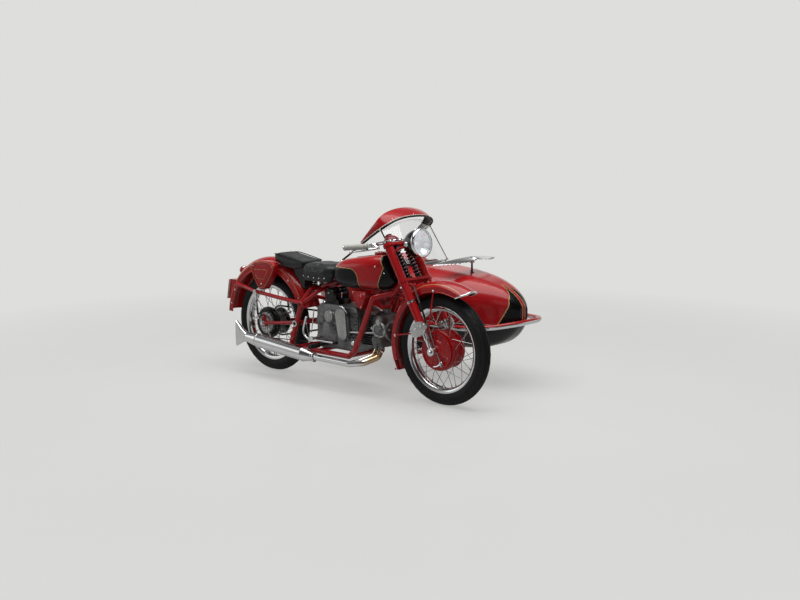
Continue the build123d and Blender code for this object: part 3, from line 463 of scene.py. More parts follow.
def arc(x, z, r, steps=40, start=0.0, sweep=360.0):
    """(x, z) points on a circle or an arc of one."""
    count = steps if sweep >= 360 else steps + 1
    angles = [radians(start + sweep * k / steps) for k in range(count)]
    return [(x + r * cos(a), z + r * sin(a)) for a in angles]


def circle(centre, radius, count, start=0.0):
    """Points spaced evenly round a circle that faces along Y."""
    x, y, z = centre
    return [Vector((px, y, pz)) for px, pz in arc(x, z, radius, count, start)]


def cap(radius, height, edge, rise):
    """Profile of a round cap whose edge is bevelled by so much across and so much up."""
    return [(0, 0), (radius, 0), (radius, height - rise), (radius - edge, height), (0, height)]


def leg(z, y=0.0, ahead=0.0):
    """A point on the line of the fork legs, moved ahead of it by so much."""
    return Vector((FRONT_X + (AXLE_Z - z) * tan(LEAN) + ahead, y, z))


class Piece:
    """One mesh piece, gathered from simple forms in station millimetres, and then set in the frame."""

    def __init__(self, name, body, *looks):
        self.name, self.body, self.looks = name, body, looks
        self.bm = bmesh.new()
        self.look = 0

    def use(self, look):
        """Gives this look to the forms that follow."""
        self.look = self.looks.index(look)
        return self

    def paint(self, faces):
        for face in faces:
            face.material_index = self.look

    def grid(self, rows, ring=True, loop=False, caps=False):
        """Quads between rows of points."""
        lines = [[self.bm.verts.new(p) for p in row] for row in rows]
        count = len(rows[0])
        faces = []
        for a, b in zip(lines, lines[1:] + (lines[:1] if loop else [])):
            for i in range(count if ring else count - 1):
                j = (i + 1) % count
                faces.append(self.bm.faces.new((a[i], a[j], b[j], b[i])))
        if caps:
            faces.append(self.bm.faces.new(lines[0][::-1]))
            faces.append(self.bm.faces.new(lines[-1]))
        self.paint(faces)
        return faces

    def lathe(self, profile, centre, axis=LEFT, steps=48, closed=False):
        """Turns (radius, offset along the axis) points round an axis; closed joins the profile's ends."""
        axis, centre = Vector(axis).normalized(), Vector(centre)
        side, up = turn_about(axis)
        rows = []
        for k in range(steps):
            a = radians(360 * k / steps)
            out = side * cos(a) + up * sin(a)
            rows.append([centre + axis * y + out * r for r, y in profile])
        return self.grid(rows, ring=closed, loop=True)

    def tube(self, path, radius, sides=10, loop=False, squash=1.0):
        """A round bar along a path; the radius may be a list, one for each point."""
        pts = [Vector(p) for p in path]
        count = len(pts)
        radii = radius if isinstance(radius, (list, tuple)) else [radius] * count
        rows, side = [], None
        for i, p in enumerate(pts):
            before = pts[i - 1] if (i or loop) else p
            after = pts[(i + 1) % count] if (i + 1 < count or loop) else p
            along = (after - before).normalized()
            if side is None:
                side = turn_about(along)[0]
            else:
                side = (side - along * side.dot(along)).normalized()
            up = along.cross(side)
            rows.append([p + (side * cos(a) + up * sin(a) * squash) * radii[i]
                         for a in (2 * pi * k / sides for k in range(sides))])
        return self.grid(rows, loop=loop, caps=not loop)

    def coil(self, start, end, radius, wire, turns, sides):
        """A helical spring between two points."""
        start, end = Vector(start), Vector(end)
        side, up = turn_about(end - start)
        points = 14
        path = []
        for k in range(turns * points + 1):
            a = 2 * pi * k / points
            out = (side * cos(a) + up * sin(a)) * radius
            path.append(start + (end - start) * (k / (turns * points)) + out)
        return self.tube(path, wire, sides)

    def bevel(self, edges, offset, segments):
        bmesh.ops.bevel(self.bm, geom=list(edges), offset=offset, segments=segments, affect="EDGES",
                        profile=0.6)

    def block(self, centre, size, bevel=2.0, turn=None, segments=2):
        """A box with rounded edges."""
        place = Matrix.Translation(Vector(centre)) @ (turn or Matrix()) @ Matrix.Diagonal((*size, 1.0))
        made = bmesh.ops.create_cube(self.bm, size=1.0, matrix=place)
        faces = {f for v in made["verts"] for f in v.link_faces}
        self.paint(faces)
        self.bevel({e for f in faces for e in f.edges}, bevel, segments)

    def slab(self, outline, y0, y1, bevel=2.0, segments=2, rounds=0):
        """A plate with an (x, z) outline between two offsets; the rim at y1 is rounded."""
        if rounds:
            outline = [(p.x, p.z) for p in smooth_path([(x, 0, z) for x, z in outline], rounds, loop=True)]
        low = [self.bm.verts.new((x, y0, z)) for x, z in outline]
        high = [self.bm.verts.new((x, y1, z)) for x, z in outline]
        faces = []
        for i in range(len(outline)):
            j = (i + 1) % len(outline)
            faces.append(self.bm.faces.new((low[i], low[j], high[j], high[i])))
        top = self.bm.faces.new(high)
        self.paint(faces + [top, self.bm.faces.new(low[::-1])])
        self.bevel(top.edges, bevel, segments)

    def bolt(self, place, out, radius, height, sides=6):
        """A hexagon head on a washer, or with more sides a domed stud."""
        if sides == 6:
            washer, low = radius * 1.35, height * 0.25
            self.lathe([(0, 0), (washer, 0), (washer, low), (0, low)], place, out, 16)
            head = [(radius, 0), (radius, height * 0.8), (radius * 0.8, height), (0, height)]
        else:
            head = [(radius * cos(a), height * sin(a)) for a in (radians(t) for t in range(0, 91, 18))]
        self.lathe(head, place, out, sides)

    def bolts(self, places, out, radius, height, sides=6):
        for place in places:
            self.bolt(place, out, radius, height, sides)

    def done(self, sharp, slot, *replaces):
        """Sets the piece in the frame with its finish; edges steeper than sharp degrees stay crisp."""
        bm = self.bm
        loose = [f for f in bm.faces if f.calc_area() < 1e-6]
        if loose:
            bmesh.ops.delete(bm, geom=loose, context="FACES")
        bmesh.ops.remove_doubles(bm, verts=bm.verts, dist=0.005)
        bmesh.ops.recalc_face_normals(bm, faces=bm.faces)
        for vert in bm.verts:
            vert.co = P(*vert.co)
        limit = radians(sharp)
        for face in bm.faces:
            face.smooth = True
        for edge in bm.edges:
            if len(edge.link_faces) != 2 or edge.calc_face_angle(0.0) > limit:
                edge.smooth = False
        mesh = bpy.data.meshes.new(self.name)
        bm.to_mesh(mesh)
        bm.free()
        for look in self.looks:
            mesh.materials.append(look)
        obj = add_object(self.name, mesh)
        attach(obj, self.body)
        if replaces:
            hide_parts(*replaces)
        return obj


# ---------------------------------------------------------------- wheels
def tyre_section(ribbed):
    """Half of the tyre's outside from bead to crown, as (radius, offset)."""
    side = [(240, 27), (246, 30.5), (254, 32), (258, 34.5), (266, 40), (276, 43.8), (284, 45.4), (290, 45.9),
            (292, 45.9), (293, 44.6), (295, 44.6), (296, 45.3), (302, 43.4), (309, 39.2), (313, 36.2),
            (317, 33.6)]
    if ribbed:
        return side + [(320.5, 29.5), (322.5, 25.5), (319, 24.6), (319, 22.0), (324.2, 21.2), (327, 14.6),
                       (323.2, 13.6), (323.2, 10.8), (328.3, 10.0), (329.6, 4.0), (326, 3.0), (326, 0.0)]
    return side + [(320, 29.8), (322.2, 26.4), (317.5, 25.4), (317.5, 21.6), (324.0, 20.8), (327.6, 12.4),
                   (322.6, 11.4), (322.6, 8.0), (328.8, 7.2), (330, 0.0)]


def make_tyre(name, centre, node, ribbed):
    half = tyre_section(ribbed)
    profile = half + [(r, -y) for r, y in reversed(half[:-1])]
    profile += [(238, -20), (236, 0), (238, 20)]
    piece = Piece(name, BODY_OF[node], TYRE)
    steps = 168
    rows = []
    for k in range(steps):
        a = 2 * pi * k / steps
        block = k % 4 < 2
        row = []
        for r, y in profile:
            if 314 < r < 321 and 27 < abs(y) < 35 and not block:
                r -= 3.2
            if not ribbed and r > 323 and abs(y) > 5 and (k + (2 if y > 0 else 0)) % 6 < 2:
                r -= 4.0
            row.append((centre[0] + r * cos(a), centre[1] + y, centre[2] + r * sin(a)))
        rows.append(row)
    piece.grid(rows, loop=True)
    for side in (1, -1):
        ridge = [(r, side * y) for r, y in ((299.5, 43.9), (300.6, 45.2), (303, 44.6), (303.6, 42.8))]
        piece.lathe(ridge, centre, steps=96)
    piece.done(48, "tyre_rubber", node)


def make_rim(name, centre, node, hub_r, flange):
    """Chrome rim with rolled edges, spokes laced to the hub's flanges, and their nipples."""
    piece = Piece(name, BODY_OF[node], CHROME, SPOKE_STEEL)
    half = [(240, 27.6), (252, 28.4), (256.5, 30.2), (257.2, 32.2), (255.6, 33.4), (252.4, 33.0), (247, 31.2),
            (241, 29.5), (236, 26), (232.6, 21.5), (229, 15.5), (226.4, 11.5), (226, 7.0)]
    piece.lathe(half + [(r, -y) for r, y in reversed(half)], centre, steps=120, closed=True)
    cx, cy, cz = centre
    spokes, seat_r, seat_y = 18, 229, 6
    piece.use(SPOKE_STEEL)
    for side in (-1, 1):
        for outside in (0, 1):
            lean = radians(42 if outside else -42)
            for i in range(outside, spokes, 2):
                at_rim = radians((i + side * 0.25) * 360 / spokes)
                at_hub = at_rim + lean
                y_hub = cy + side * (flange - 5 * outside)
                hub = Vector((cx + hub_r * cos(at_hub), y_hub, cz + hub_r * sin(at_hub)))
                rim = Vector((cx + seat_r * cos(at_rim), cy + side * seat_y, cz + seat_r * sin(at_rim)))
                along = (rim - hub).normalized()
                piece.tube([hub, rim], 1.7, 6)
                piece.tube([rim - along * 16, rim - along * 14, rim - along * 1], [2.4, 3.3, 3.6], 6)
    piece.done(40, "chrome", node)


def ring_rows(radius, width, height, count):
    """Profile points of small raised rings, spread over a drum's face."""
    rows = []
    for i in range(count):
        y = -width / 2 + width * (i + 0.5) / count
        step = width / count * 0.22
        rows += [(radius, y - step * 1.4), (radius + height, y - step), (radius + height, y + step),
                 (radius, y + step * 1.4)]
    return rows


def make_front_hub():
    """Large red drum with cooling rings and a spoke flange on the left."""
    piece = Piece("front_drum", "front_wheel", RED)
    rings = [(r, y - 32) for r, y in ring_rows(116.5, 34, 3.2, 4)]
    left = [(116, -13), (104, -1), (99, 8), (99, 40), (110, 45.5), (113, 48), (113, 55), (109, 57), (86, 59),
            (80, 62), (62, 66), (44, 72), (30, 74), (9, 74)]
    piece.lathe([(9, -57.5), (112, -57.5), (117, -55), (119.5, -51.5)] + rings + left, FRONT_AXLE, steps=96)
    piece.bolts(circle((FRONT_X, 58.5, AXLE_Z), 92, 9), LEFT, 4, 3.5)
    piece.done(30, "red_paint", "front_hub")


def make_fork_ends():
    """Chrome sliders, axle, and the red brake plate with its lever, rod and torque stay."""
    piece = Piece("fork_lower_ends", "steering", CHROME, RED, ALLOY, SPOKE_STEEL, DARK_STEEL, ALLOY_BRIGHT)
    mount = [(0, -20), (22, -20), (23.5, -17), (23.5, 13), (21, 16), (0, 16)]
    for side in (-1, 1):
        y, out = side * LEG_Y, (0, side, 0)
        top, foot = leg(470, y), leg(AXLE_Z, y)
        long = (foot - top).length
        slider = [(0, 0), (17.4, 0), (17.4, 6), (15.2, 9), (15.2, long * 0.42), (17.8, long * 0.44),
                  (17.8, long * 0.52), (15.6, long * 0.55), (15.6, long - 6), (18.5, long - 2),
                  (16, long + 12), (0, long + 14)]
        piece.use(CHROME).lathe(slider, top, foot - top, 28)
        piece.lathe(mount, (FRONT_X, y, AXLE_Z), steps=32)
        stub = [leg(462, y), leg(455, y + side * 16, -16), leg(450, y + side * 22, -22)]
        piece.use(ALLOY).tube(stub, [10, 14, 11.5], 14)
        piece.use(CHROME).bolt((FRONT_X, side * 121, AXLE_Z), out, 13, 12)
        piece.lathe(cap(8.5, 23, 2.5, 3), (FRONT_X, side * 106, AXLE_Z), out, 18)
        piece.bolts([leg(z, y + side * 16.5) for z in (362, 398, 428)], out, 4, 4)
    piece.use(RED)
    piece.lathe([(0, -59.5), (58, -59.5), (62, -62.5), (100, -61), (106, -64.5), (110.5, -66), (112, -70.2),
                 (108, -72.6), (100, -71.4), (95, -67.6), (66, -69), (60, -75), (34, -79), (30, -84),
                 (0, -84)], FRONT_AXLE, steps=96)
    inner = circle((FRONT_X, -70.5, AXLE_Z), 62, 12, 8)
    outer = circle((FRONT_X, -68.4, AXLE_Z), 96, 12, 8)
    for near, far in zip(inner, outer):
        piece.tube([near, far], [4.0, 2.6], 6)
    piece.use(CHROME)
    piece.lathe([(0, 0), (13, 0), (14, -3), (14, -9), (11, -12), (0, -12)], (1546, -76, 262), steps=20)
    piece.bolt((1546, -88, 262), RIGHT, 6, 6)
    piece.tube([(1546, -86, 262), (1520, -88, 246), (1494, -88, 240)], [7, 5.5, 4.5], squash=0.6)
    piece.use(SPOKE_STEEL).tube([(1345, -86, 691), (1389, -87, 600), (1556, -89, 253)], 3.6)
    piece.tube([(1340, -86, 703), (1345, -86, 694)], 8, 12)
    piece.bolt((1556, -91, 255), RIGHT, 7, 6)
    piece.tube([(1357, -87, 668), (1388, -87.5, 604)], 6.5, 14)
    piece.use(DARK_STEEL).tube([(1389, -87.2, 600), (1440, -88, 493)], 6.2, 14)
    piece.use(SPOKE_STEEL).tube([(1446, -88, 482), (1470, -88.5, 432)], 6.5, 14)
    plate = [(1366, 406), (1358, 436), (1364, 466), (1390, 492), (1426, 502), (1454, 494), (1468, 474),
             (1462, 444), (1434, 420), (1398, 406)]
    for side in (-1, 1):
        y = side * (LEG_Y + 28)
        piece.use(ALLOY_BRIGHT).slab(plate, y - side * 16, y, 5, 3, rounds=4)
        piece.use(CHROME).bolts([(1392, y, 452), (1432, y, 474)], (0, side, 0), 6, 4, 16)
    piece.done(34, "chrome", "fork_sliders")


def make_rear_hub():
    """Drum with a black ring round a bright plate, waisted hub, and the toothed sprocket."""
    piece = Piece("rear_hub_assembly", "rear_wheel", BLACK, ALLOY, DARK_STEEL, CHROME)
    piece.use(BLACK).lathe([(60, -26), (104, -36), (106, -40), (106, -56), (104, -61), (99, -65), (92, -65.6),
                            (89.5, -63.5), (89.5, -61.8)], REAR_AXLE, steps=80)
    piece.use(ALLOY)
    piece.lathe([(9, -62), (28, -62), (32, -63.5), (86, -61.4), (89.5, -61.8)], REAR_AXLE, steps=64)
    piece.lathe([(60, -26), (46, -18), (36, -8), (34, 0), (34, 28), (40, 34), (62, 42), (63.5, 45), (62, 55),
                 (34, 58), (34, 62)], REAR_AXLE, steps=56)
    piece.use(DARK_STEEL)
    teeth, rows = 42, []
    for k in range(teeth * 4):
        a = 2 * pi * k / (teeth * 4)
        tip = 90.5 if k % 4 < 2 else 85
        rows.append([Vector((r * cos(a), y, AXLE_Z + r * sin(a)))
                     for r, y in ((38, 61.6), (tip, 62.6), (tip, 66.4), (38, 67.2), (30, 73), (9, 73))])
    piece.grid(rows, ring=False, loop=True)
    piece.use(CHROME).bolts(circle((0, 67, AXLE_Z), 50, 6), LEFT, 5, 5)
    piece.done(36, "iron", "rear_hub")


def make_car_hub():
    piece = Piece("sidecar_hub_shell", "sidecar_wheel", CHROME, ALLOY)
    piece.lathe([(9, -57.5), (38, -57.5), (42, -55), (57, -50), (58, -48), (58, -43), (56, -41), (38, -36),
                 (31, -28), (29, 0), (31, 28), (38, 36), (56, 41), (58, 43), (58, 48), (57, 50), (42, 54),
                 (34, 58), (28, 60), (9, 60)], CAR_AXLE, steps=64)
    piece.use(ALLOY)
    x, y, z = CAR_AXLE
    for side in (-1, 1):
        for place in circle((x, y + side * 50, z), 51, 9):
            piece.lathe([(0, 0), (3.2, 0), (3.2, 2.4), (0, 3)], place, (0, side, 0), 8)
    piece.done(30, "chrome", "sidecar_hub")


make_tyre("front_tyre_tread", FRONT_AXLE, "front_tyre", True)
make_tyre("rear_tyre_tread", REAR_AXLE, "rear_tyre", False)
make_tyre("sidecar_tyre_tread", CAR_AXLE, "sidecar_tyre", False)
make_rim("front_rim_spokes", FRONT_AXLE, "front_rim", 96, 50)
make_rim("rear_rim_spokes", REAR_AXLE, "rear_rim", 52, 48)
make_rim("sidecar_rim_spokes", CAR_AXLE, "sidecar_rim", 50, 45)
make_front_hub()
make_fork_ends()
make_rear_hub()
make_car_hub()


# ---------------------------------------------------------------- mudguards
def crown_radius(crown, half, y):
    """Radius of a guard's rounded crown at an offset: an arc that falls by half its half-width."""
    rise = half * 0.5
    arc_r = (half ** 2 + rise ** 2) / (2 * rise)
    return crown - arc_r + sqrt(max(arc_r ** 2 - y * y, 0))


def guard_section(crown, half, lip):
    """Closed (radius, offset) section: rounded crown, straight skirts and rolled edges."""
    shoulder = crown - half * 0.5
    skirt = [shoulder - (shoulder - lip) * t for t in (0.25, 0.5, 0.8)]
    outer = [(crown_radius(crown, half, y), y) for y in (half * sin(radians(10 * k)) for k in range(-9, 10))]
    bead = [(lip + 3.4 + 3.4 * cos(a), half + 0.2 + 3.2 * sin(a))
            for a in (radians(t) for t in (20, 60, 100, 140, 180, 220, 260, 300, 330))]
    right = [(r, half) for r in skirt] + bead + [(r, half - 2.6) for r in reversed(skirt)]
    left = [(r, -y) for r, y in reversed(right)]
    inner = [(r - 2.2, y * (half - 2.4) / half) for r, y in reversed(outer)]
    return left + outer + right + inner


def flare(angle):
    """How far the front guard has opened outward at an angle near its front end."""
    return FLARE * max(0.0, 1.0 - (angle - FRONT_GUARD_START) / FLARE_ANGLE) ** 2


def make_guard(name, body, look, centre, sizes, start, end, steps, flared=False):
    """A mudguard between two angles above the forward direction."""
    piece = Piece(name, body, look, CHROME)
    section = guard_section(*sizes)
    skirt_r = sizes[2] + 12
    rows = []
    for k in range(steps + 1):
        angle = start + (end - start) * k / steps
        a = radians(angle)
        grow = flare(angle) if flared else 0.0
        row = []
        for r, y in section:
            r += grow * (1.0 if r > skirt_r else 1.4)
            row.append((centre[0] + r * cos(a), centre[1] + y, centre[2] + r * sin(a)))
        rows.append(row)
    piece.grid(rows, caps=True)
    return piece


def beak(piece):
    """Cuts the front guard's end to a beak along a rising plane, and lays a polished lip on the cut."""
    centre, (crown, half, lip) = FRONT_GUARD_C, FRONT_GUARD
    bm = piece.bm
    foot, rise = Vector((1630, 0, 648)), Vector((82, 0, 33)).normalized()
    front = [f for f in bm.faces if f.calc_center_median().x > 1600]
    geom = front + list({e for f in front for e in f.edges}) + list({v for f in front for v in f.verts})
    bmesh.ops.bisect_plane(bm, geom=geom, plane_co=foot, plane_no=Vector((-rise.z, 0, rise.x)),
                           clear_inner=True, dist=0.001)

    def on_cut(radius, y):
        """The point where a circle of this radius round the wheel meets the cutting plane."""
        for k in range(400):
            angle = 72 - 12.6 * k / 399
            reach = radius + flare(angle)
            x, z = centre[0] + reach * cos(radians(angle)), centre[2] + reach * sin(radians(angle))
            if z < foot.z + (x - foot.x) * rise.z / rise.x:
                break
        return Vector((x, y, z))

    skirt = (lip + 4, lip + 14, lip + 24)
    path = [on_cut(r, -half) for r in skirt]
    for k in range(-12, 13):
        y = half * sin(radians(90 * k / 12))
        path.append(on_cut(crown_radius(crown, half, y), y))
    path += [on_cut(r, half) for r in reversed(skirt)]
    drop = Vector((0.25, 0, -1)) * 2.0
    radii = [2.5 + 4.5 * sin(pi * k / (len(path) - 1)) ** 0.5 for k in range(len(path))]
    piece.use(CHROME).tube([p + drop for p in path], radii, 12)


def make_front_guard():
    piece = make_guard("front_mudguard_skin", "steering", FRONT_GUARD_RED, FRONT_GUARD_C, FRONT_GUARD,
                       FRONT_GUARD_START, 199, 110, flared=True)
    beak(piece)
    for side in (-1, 1):
        out = Vector((0, side * 3, 0))
        for start, foot in (((1478, side * 69, 678), 400), ((1178, side * 69, 385), 438)):
            start, end = Vector(start), leg(foot, side * 101)
            piece.use(FRONT_GUARD_RED).tube([start, (start + end) / 2 + out, end], 4.8)
            piece.use(CHROME).bolt(start + out, (0, side, 0), 6, 5)
    piece.use(FRONT_GUARD_RED).tube([(1268, 0, 655.5), (1254, 0, 697)], 14, 16)
    piece.use(CHROME).bolts([(x, y, z) for x, z in ((1452, 725), (1400, 720)) for y in (-26, 26)], UP, 4, 3)
    piece.done(34, "red_paint", "front_mudguard")


def make_rear_guard():
    piece = make_guard("rear_mudguard_skin", "chassis", REAR_GUARD_RED, REAR_GUARD_C, REAR_GUARD,
                       18, 175, 120)
    piece.use(CHROME)
    for a in (radians(t) for t in (30, 52, 150, 166)):
        for side in (-1, 1):
            piece.bolt((374 * cos(a), side * 76, REAR_GUARD_C[2] + 374 * sin(a)), (0, side, 0), 5, 4)
    piece.done(34, "red_paint", "rear_mudguard")


def make_car_guard():
    piece = make_guard("sidecar_mudguard_skin", "chassis", RED, CAR_GUARD_C, CAR_GUARD, 20, 172, 110)
    for start, end in (((-40, 980, 320.3), (-92, 1062, 508)), ((430, 980, 320.3), (478, 1062, 565))):
        piece.use(RED).tube([start, end], 8, 12)
        piece.use(CHROME).bolt(Vector(end) + Vector((0, -2, 10)), RIGHT, 6, 5)
    piece.done(34, "red_paint", "sidecar_mudguard")


def make_flap():
    """Red flap bolted below the front mudguard."""
    piece = Piece("front_mudflap", "steering", RED, CHROME)
    cx, _, cz = FRONT_GUARD_C
    crown, half = FRONT_GUARD[0] - 3, 68
    section = []
    for k in range(33):
        y = -half + 2 * half * k / 32
        section.append((crown - 35 * (abs(y) / half) ** 2.4 + 1.2, y))
    section += [(r - 6, y * 0.95) for r, y in reversed(section)]
    rows = []
    for a in (radians(199.05 + 8.9 * k / 8) for k in range(9)):
        rows.append([(cx + r * cos(a), y, cz + r * sin(a)) for r, y in section])
    piece.grid(rows, caps=True)
    a = radians(206.4)
    places = [(cx + crown * cos(a), y, cz + crown * sin(a)) for y in (-44, -16, 16, 44)]
    piece.use(CHROME).bolts(places, (-1, 0, -0.4), 4.5, 4)
    piece.done(30, "red_paint", "mudguard_flap")


make_front_guard()
make_rear_guard()
make_car_guard()
make_flap()


# ---------------------------------------------------------------- engine
def stadium(a, b, steps=20):
    """Outline round two circles, each given as (x, z, radius)."""
    (ax, az, ar), (bx, bz, br) = a, b
    heading = degrees(atan2(bz - az, bx - ax))
    tilt = degrees(acos((ar - br) / hypot(bx - ax, bz - az)))
    return (arc(ax, az, ar, steps, heading + tilt, 360 - 2 * tilt)
            + arc(bx, bz, br, steps, heading - tilt, 2 * tilt))


def rounded(half_y, low, high, corner):
    """Rounded rectangle in the YZ plane, as (y, z) points."""
    out = []
    for sy, sz, start in CORNERS:
        centre_z = high - corner if sz > 0 else low + corner
        out += arc(sy * (half_y - corner), centre_z, corner, 6, start, 90)
    return out


def fin(piece, x, thick, half, low, high, corner):
    """One cast cooling fin with a thinner rounded edge."""
    rows = []
    for dx, draw in ((0, 1.4), (0.5, 0.3), (thick - 0.5, 0.3), (thick, 1.4)):
        section = rounded(half - draw, low + draw, high - draw, corner - draw)
        rows.append([(x + dx, y, z) for y, z in section])
    piece.grid(rows, caps=True)


def make_crankcase():
    piece = Piece("crankcase_casting", "chassis", ALLOY, CHROME, DARK_STEEL, POLISHED)
    outline = [(512, 300), (516, 284), (548, 250), (560, 246), (840, 246), (852, 249), (878, 276), (880, 288),
               (880, 482), (876, 494), (854, 516), (842, 520), (556, 520), (543, 517), (516, 492), (512, 480)]
    piece.slab(outline, 0.5, -86, 10, 3)
    inner = [(x, z) for x, z in outline if x > 600]
    piece.slab([(612, 246)] + inner[:-1] + [(612, 520)], -0.5, 92, 8, 3)
    piece.slab([(522, 300), (612, 300), (612, 246), (560, 246), (522, 284)], -0.5, 90, 6)
    piece.slab([(512, 472), (612, 472), (612, 520), (556, 520), (516, 492)], -0.5, 90, 6)
    piece.slab([(512, 296), (614, 296), (614, 476), (512, 476)], -0.5, 50, 2, 1)
    piece.block((696, 0, 401), (372, 178, 9), 3)
    piece.use(DARK_STEEL).bolts([(x, -84, 406) for x in (536, 580, 690, 712, 848)], (0, -0.3, 1), 5, 5)
    piece.use(ALLOY)
    for x in range(572, 846, 17):
        piece.block((x, 0, 244), (5, 150, 14), 1.5, segments=1)
    for x in (540, 820):
        piece.block((x, 0, 238), (28, 120, 20), 3)
    piece.slab(stadium((760, 466, 54), (778, 346, 46)), -80, -104, 5, 3)
    piece.use(POLISHED).slab(stadium((758, 464, 45), (776, 348, 38)), -100, -120, 9, 4)
    rim = stadium((760, 466, 50), (778, 346, 42), 7)[::2]
    piece.use(DARK_STEEL).bolts([(x, -103, z) for x, z in rim], RIGHT, 4.2, 5)
    piece.use(ALLOY)
    piece.lathe([(72, 0), (72, 6), (66, 13), (60, 17), (52, 22), (38, 27), (20, 30), (0, 31)],
                (622, -80, 344), RIGHT, 56)
    piece.lathe([(36, 0), (36, 6), (28, 12), (0, 14)], (548, -80, 420), RIGHT, 32)
    for k in range(5):
        left, right, top = 556 + k * 4, 690 - k * 6, 388 - k * 26
        piece.slab([(left, top), (right, top), (right, top - 4), (left, top - 4)], -82, -92, 1.4, 1)
    piece.use(DARK_STEEL).bolts(circle((622, -93, 344), 64, 5, 20), RIGHT, 3.8, 4.5)
    piece.use(ALLOY).lathe([(38, 0), (38, 22), (35, 26), (0, 26)], (660, -82, 446), RIGHT, 40)
    piece.use(POLISHED).lathe([(37, 20), (37, 36), (34, 41), (27, 41.5), (25, 40), (12, 40.5), (0, 40.5)],
                              (655, -82, 450), RIGHT)
    piece.use(DARK_STEEL).bolts(circle((655, -122.5, 450), 24, 3, 30), RIGHT, 2.6, 2, 10)
    for k in range(9):
        piece.block((850, -88, 306 + k * 22), (46, 14, 6), 1.5, segments=1)
    oil_pipe = [(742, -92, 508), (752, -112, 520), (776, -116, 518), (796, -112, 500), (800, -94, 482)]
    piece.use(CHROME).tube(smooth_path(oil_pipe), 6.5, 12)
    piece.tube([(432, -113, 418), (469, -113, 282)], 3.4, 8)
    piece.tube([(507, -104, 481), (487, -112, 323)], 3.4, 8)
    piece.lathe(cap(15, 13, 3, 4), (842, -84, 296), RIGHT, 12)
    piece.lathe([(0, 0), (19, 0), (19, 7), (15, 12), (0, 13)], (556, -50, 518), UP, 24)
    piece.use(ALLOY).lathe(cap(36, 25, 6, 5), (560, 67, 392), RIGHT, 32)
    piece.lathe(cap(138, 9, 10, 3), (790, 88, 360), LEFT, 64)
    piece.done(32, "alloy", "crankcase")


def make_cylinder():
    """Barrel with fins that run along the air stream, push-rod tubes and studs."""
    piece = Piece("finned_cylinder", "chassis", IRON, DARK_STEEL, CHROME, ALLOY)
    barrel = [(0, 0), (72, 0), (72, 7), (61, 9), (61, 128), (66, 131.4), (0, 131.4)]
    piece.lathe(barrel, (880.4, 0, 390), AHEAD)
    piece.use(ALLOY)
    for k in range(14):
        z = 295 + 14.6 * k
        reach = 84 if abs(z - 390) < 55 else 84 - 0.62 * (abs(z - 390) - 55)
        piece.slab([(890, z - 1.9), (1006, z - 1.9), (1006, z + 1.9), (890, z + 1.9)], reach, -reach, 1.2)
    for x in (888, 1005):
        fin(piece, x, 4, 84, 288, 492, 48)
    rod_tube = [(772, -106, 362), (800, -98, 362), (846, -96, 367), (1006, -92, 384), (1020, -86, 388)]
    piece.use(CHROME).tube(rod_tube, 6.5, 14)
    piece.use(DARK_STEEL)
    for y, z in ((-60, 330), (60, 330), (-60, 450), (60, 450)):
        piece.tube([(884, y, z), (1014, y, z)], 6, 8)
    piece.use(CHROME).bolt((1004, -88, 411), RIGHT, 7, 7)
    piece.bolt((1012, -84, 322), (0, -1, -0.2), 7, 7)
    piece.done(30, "iron", "cylinder")


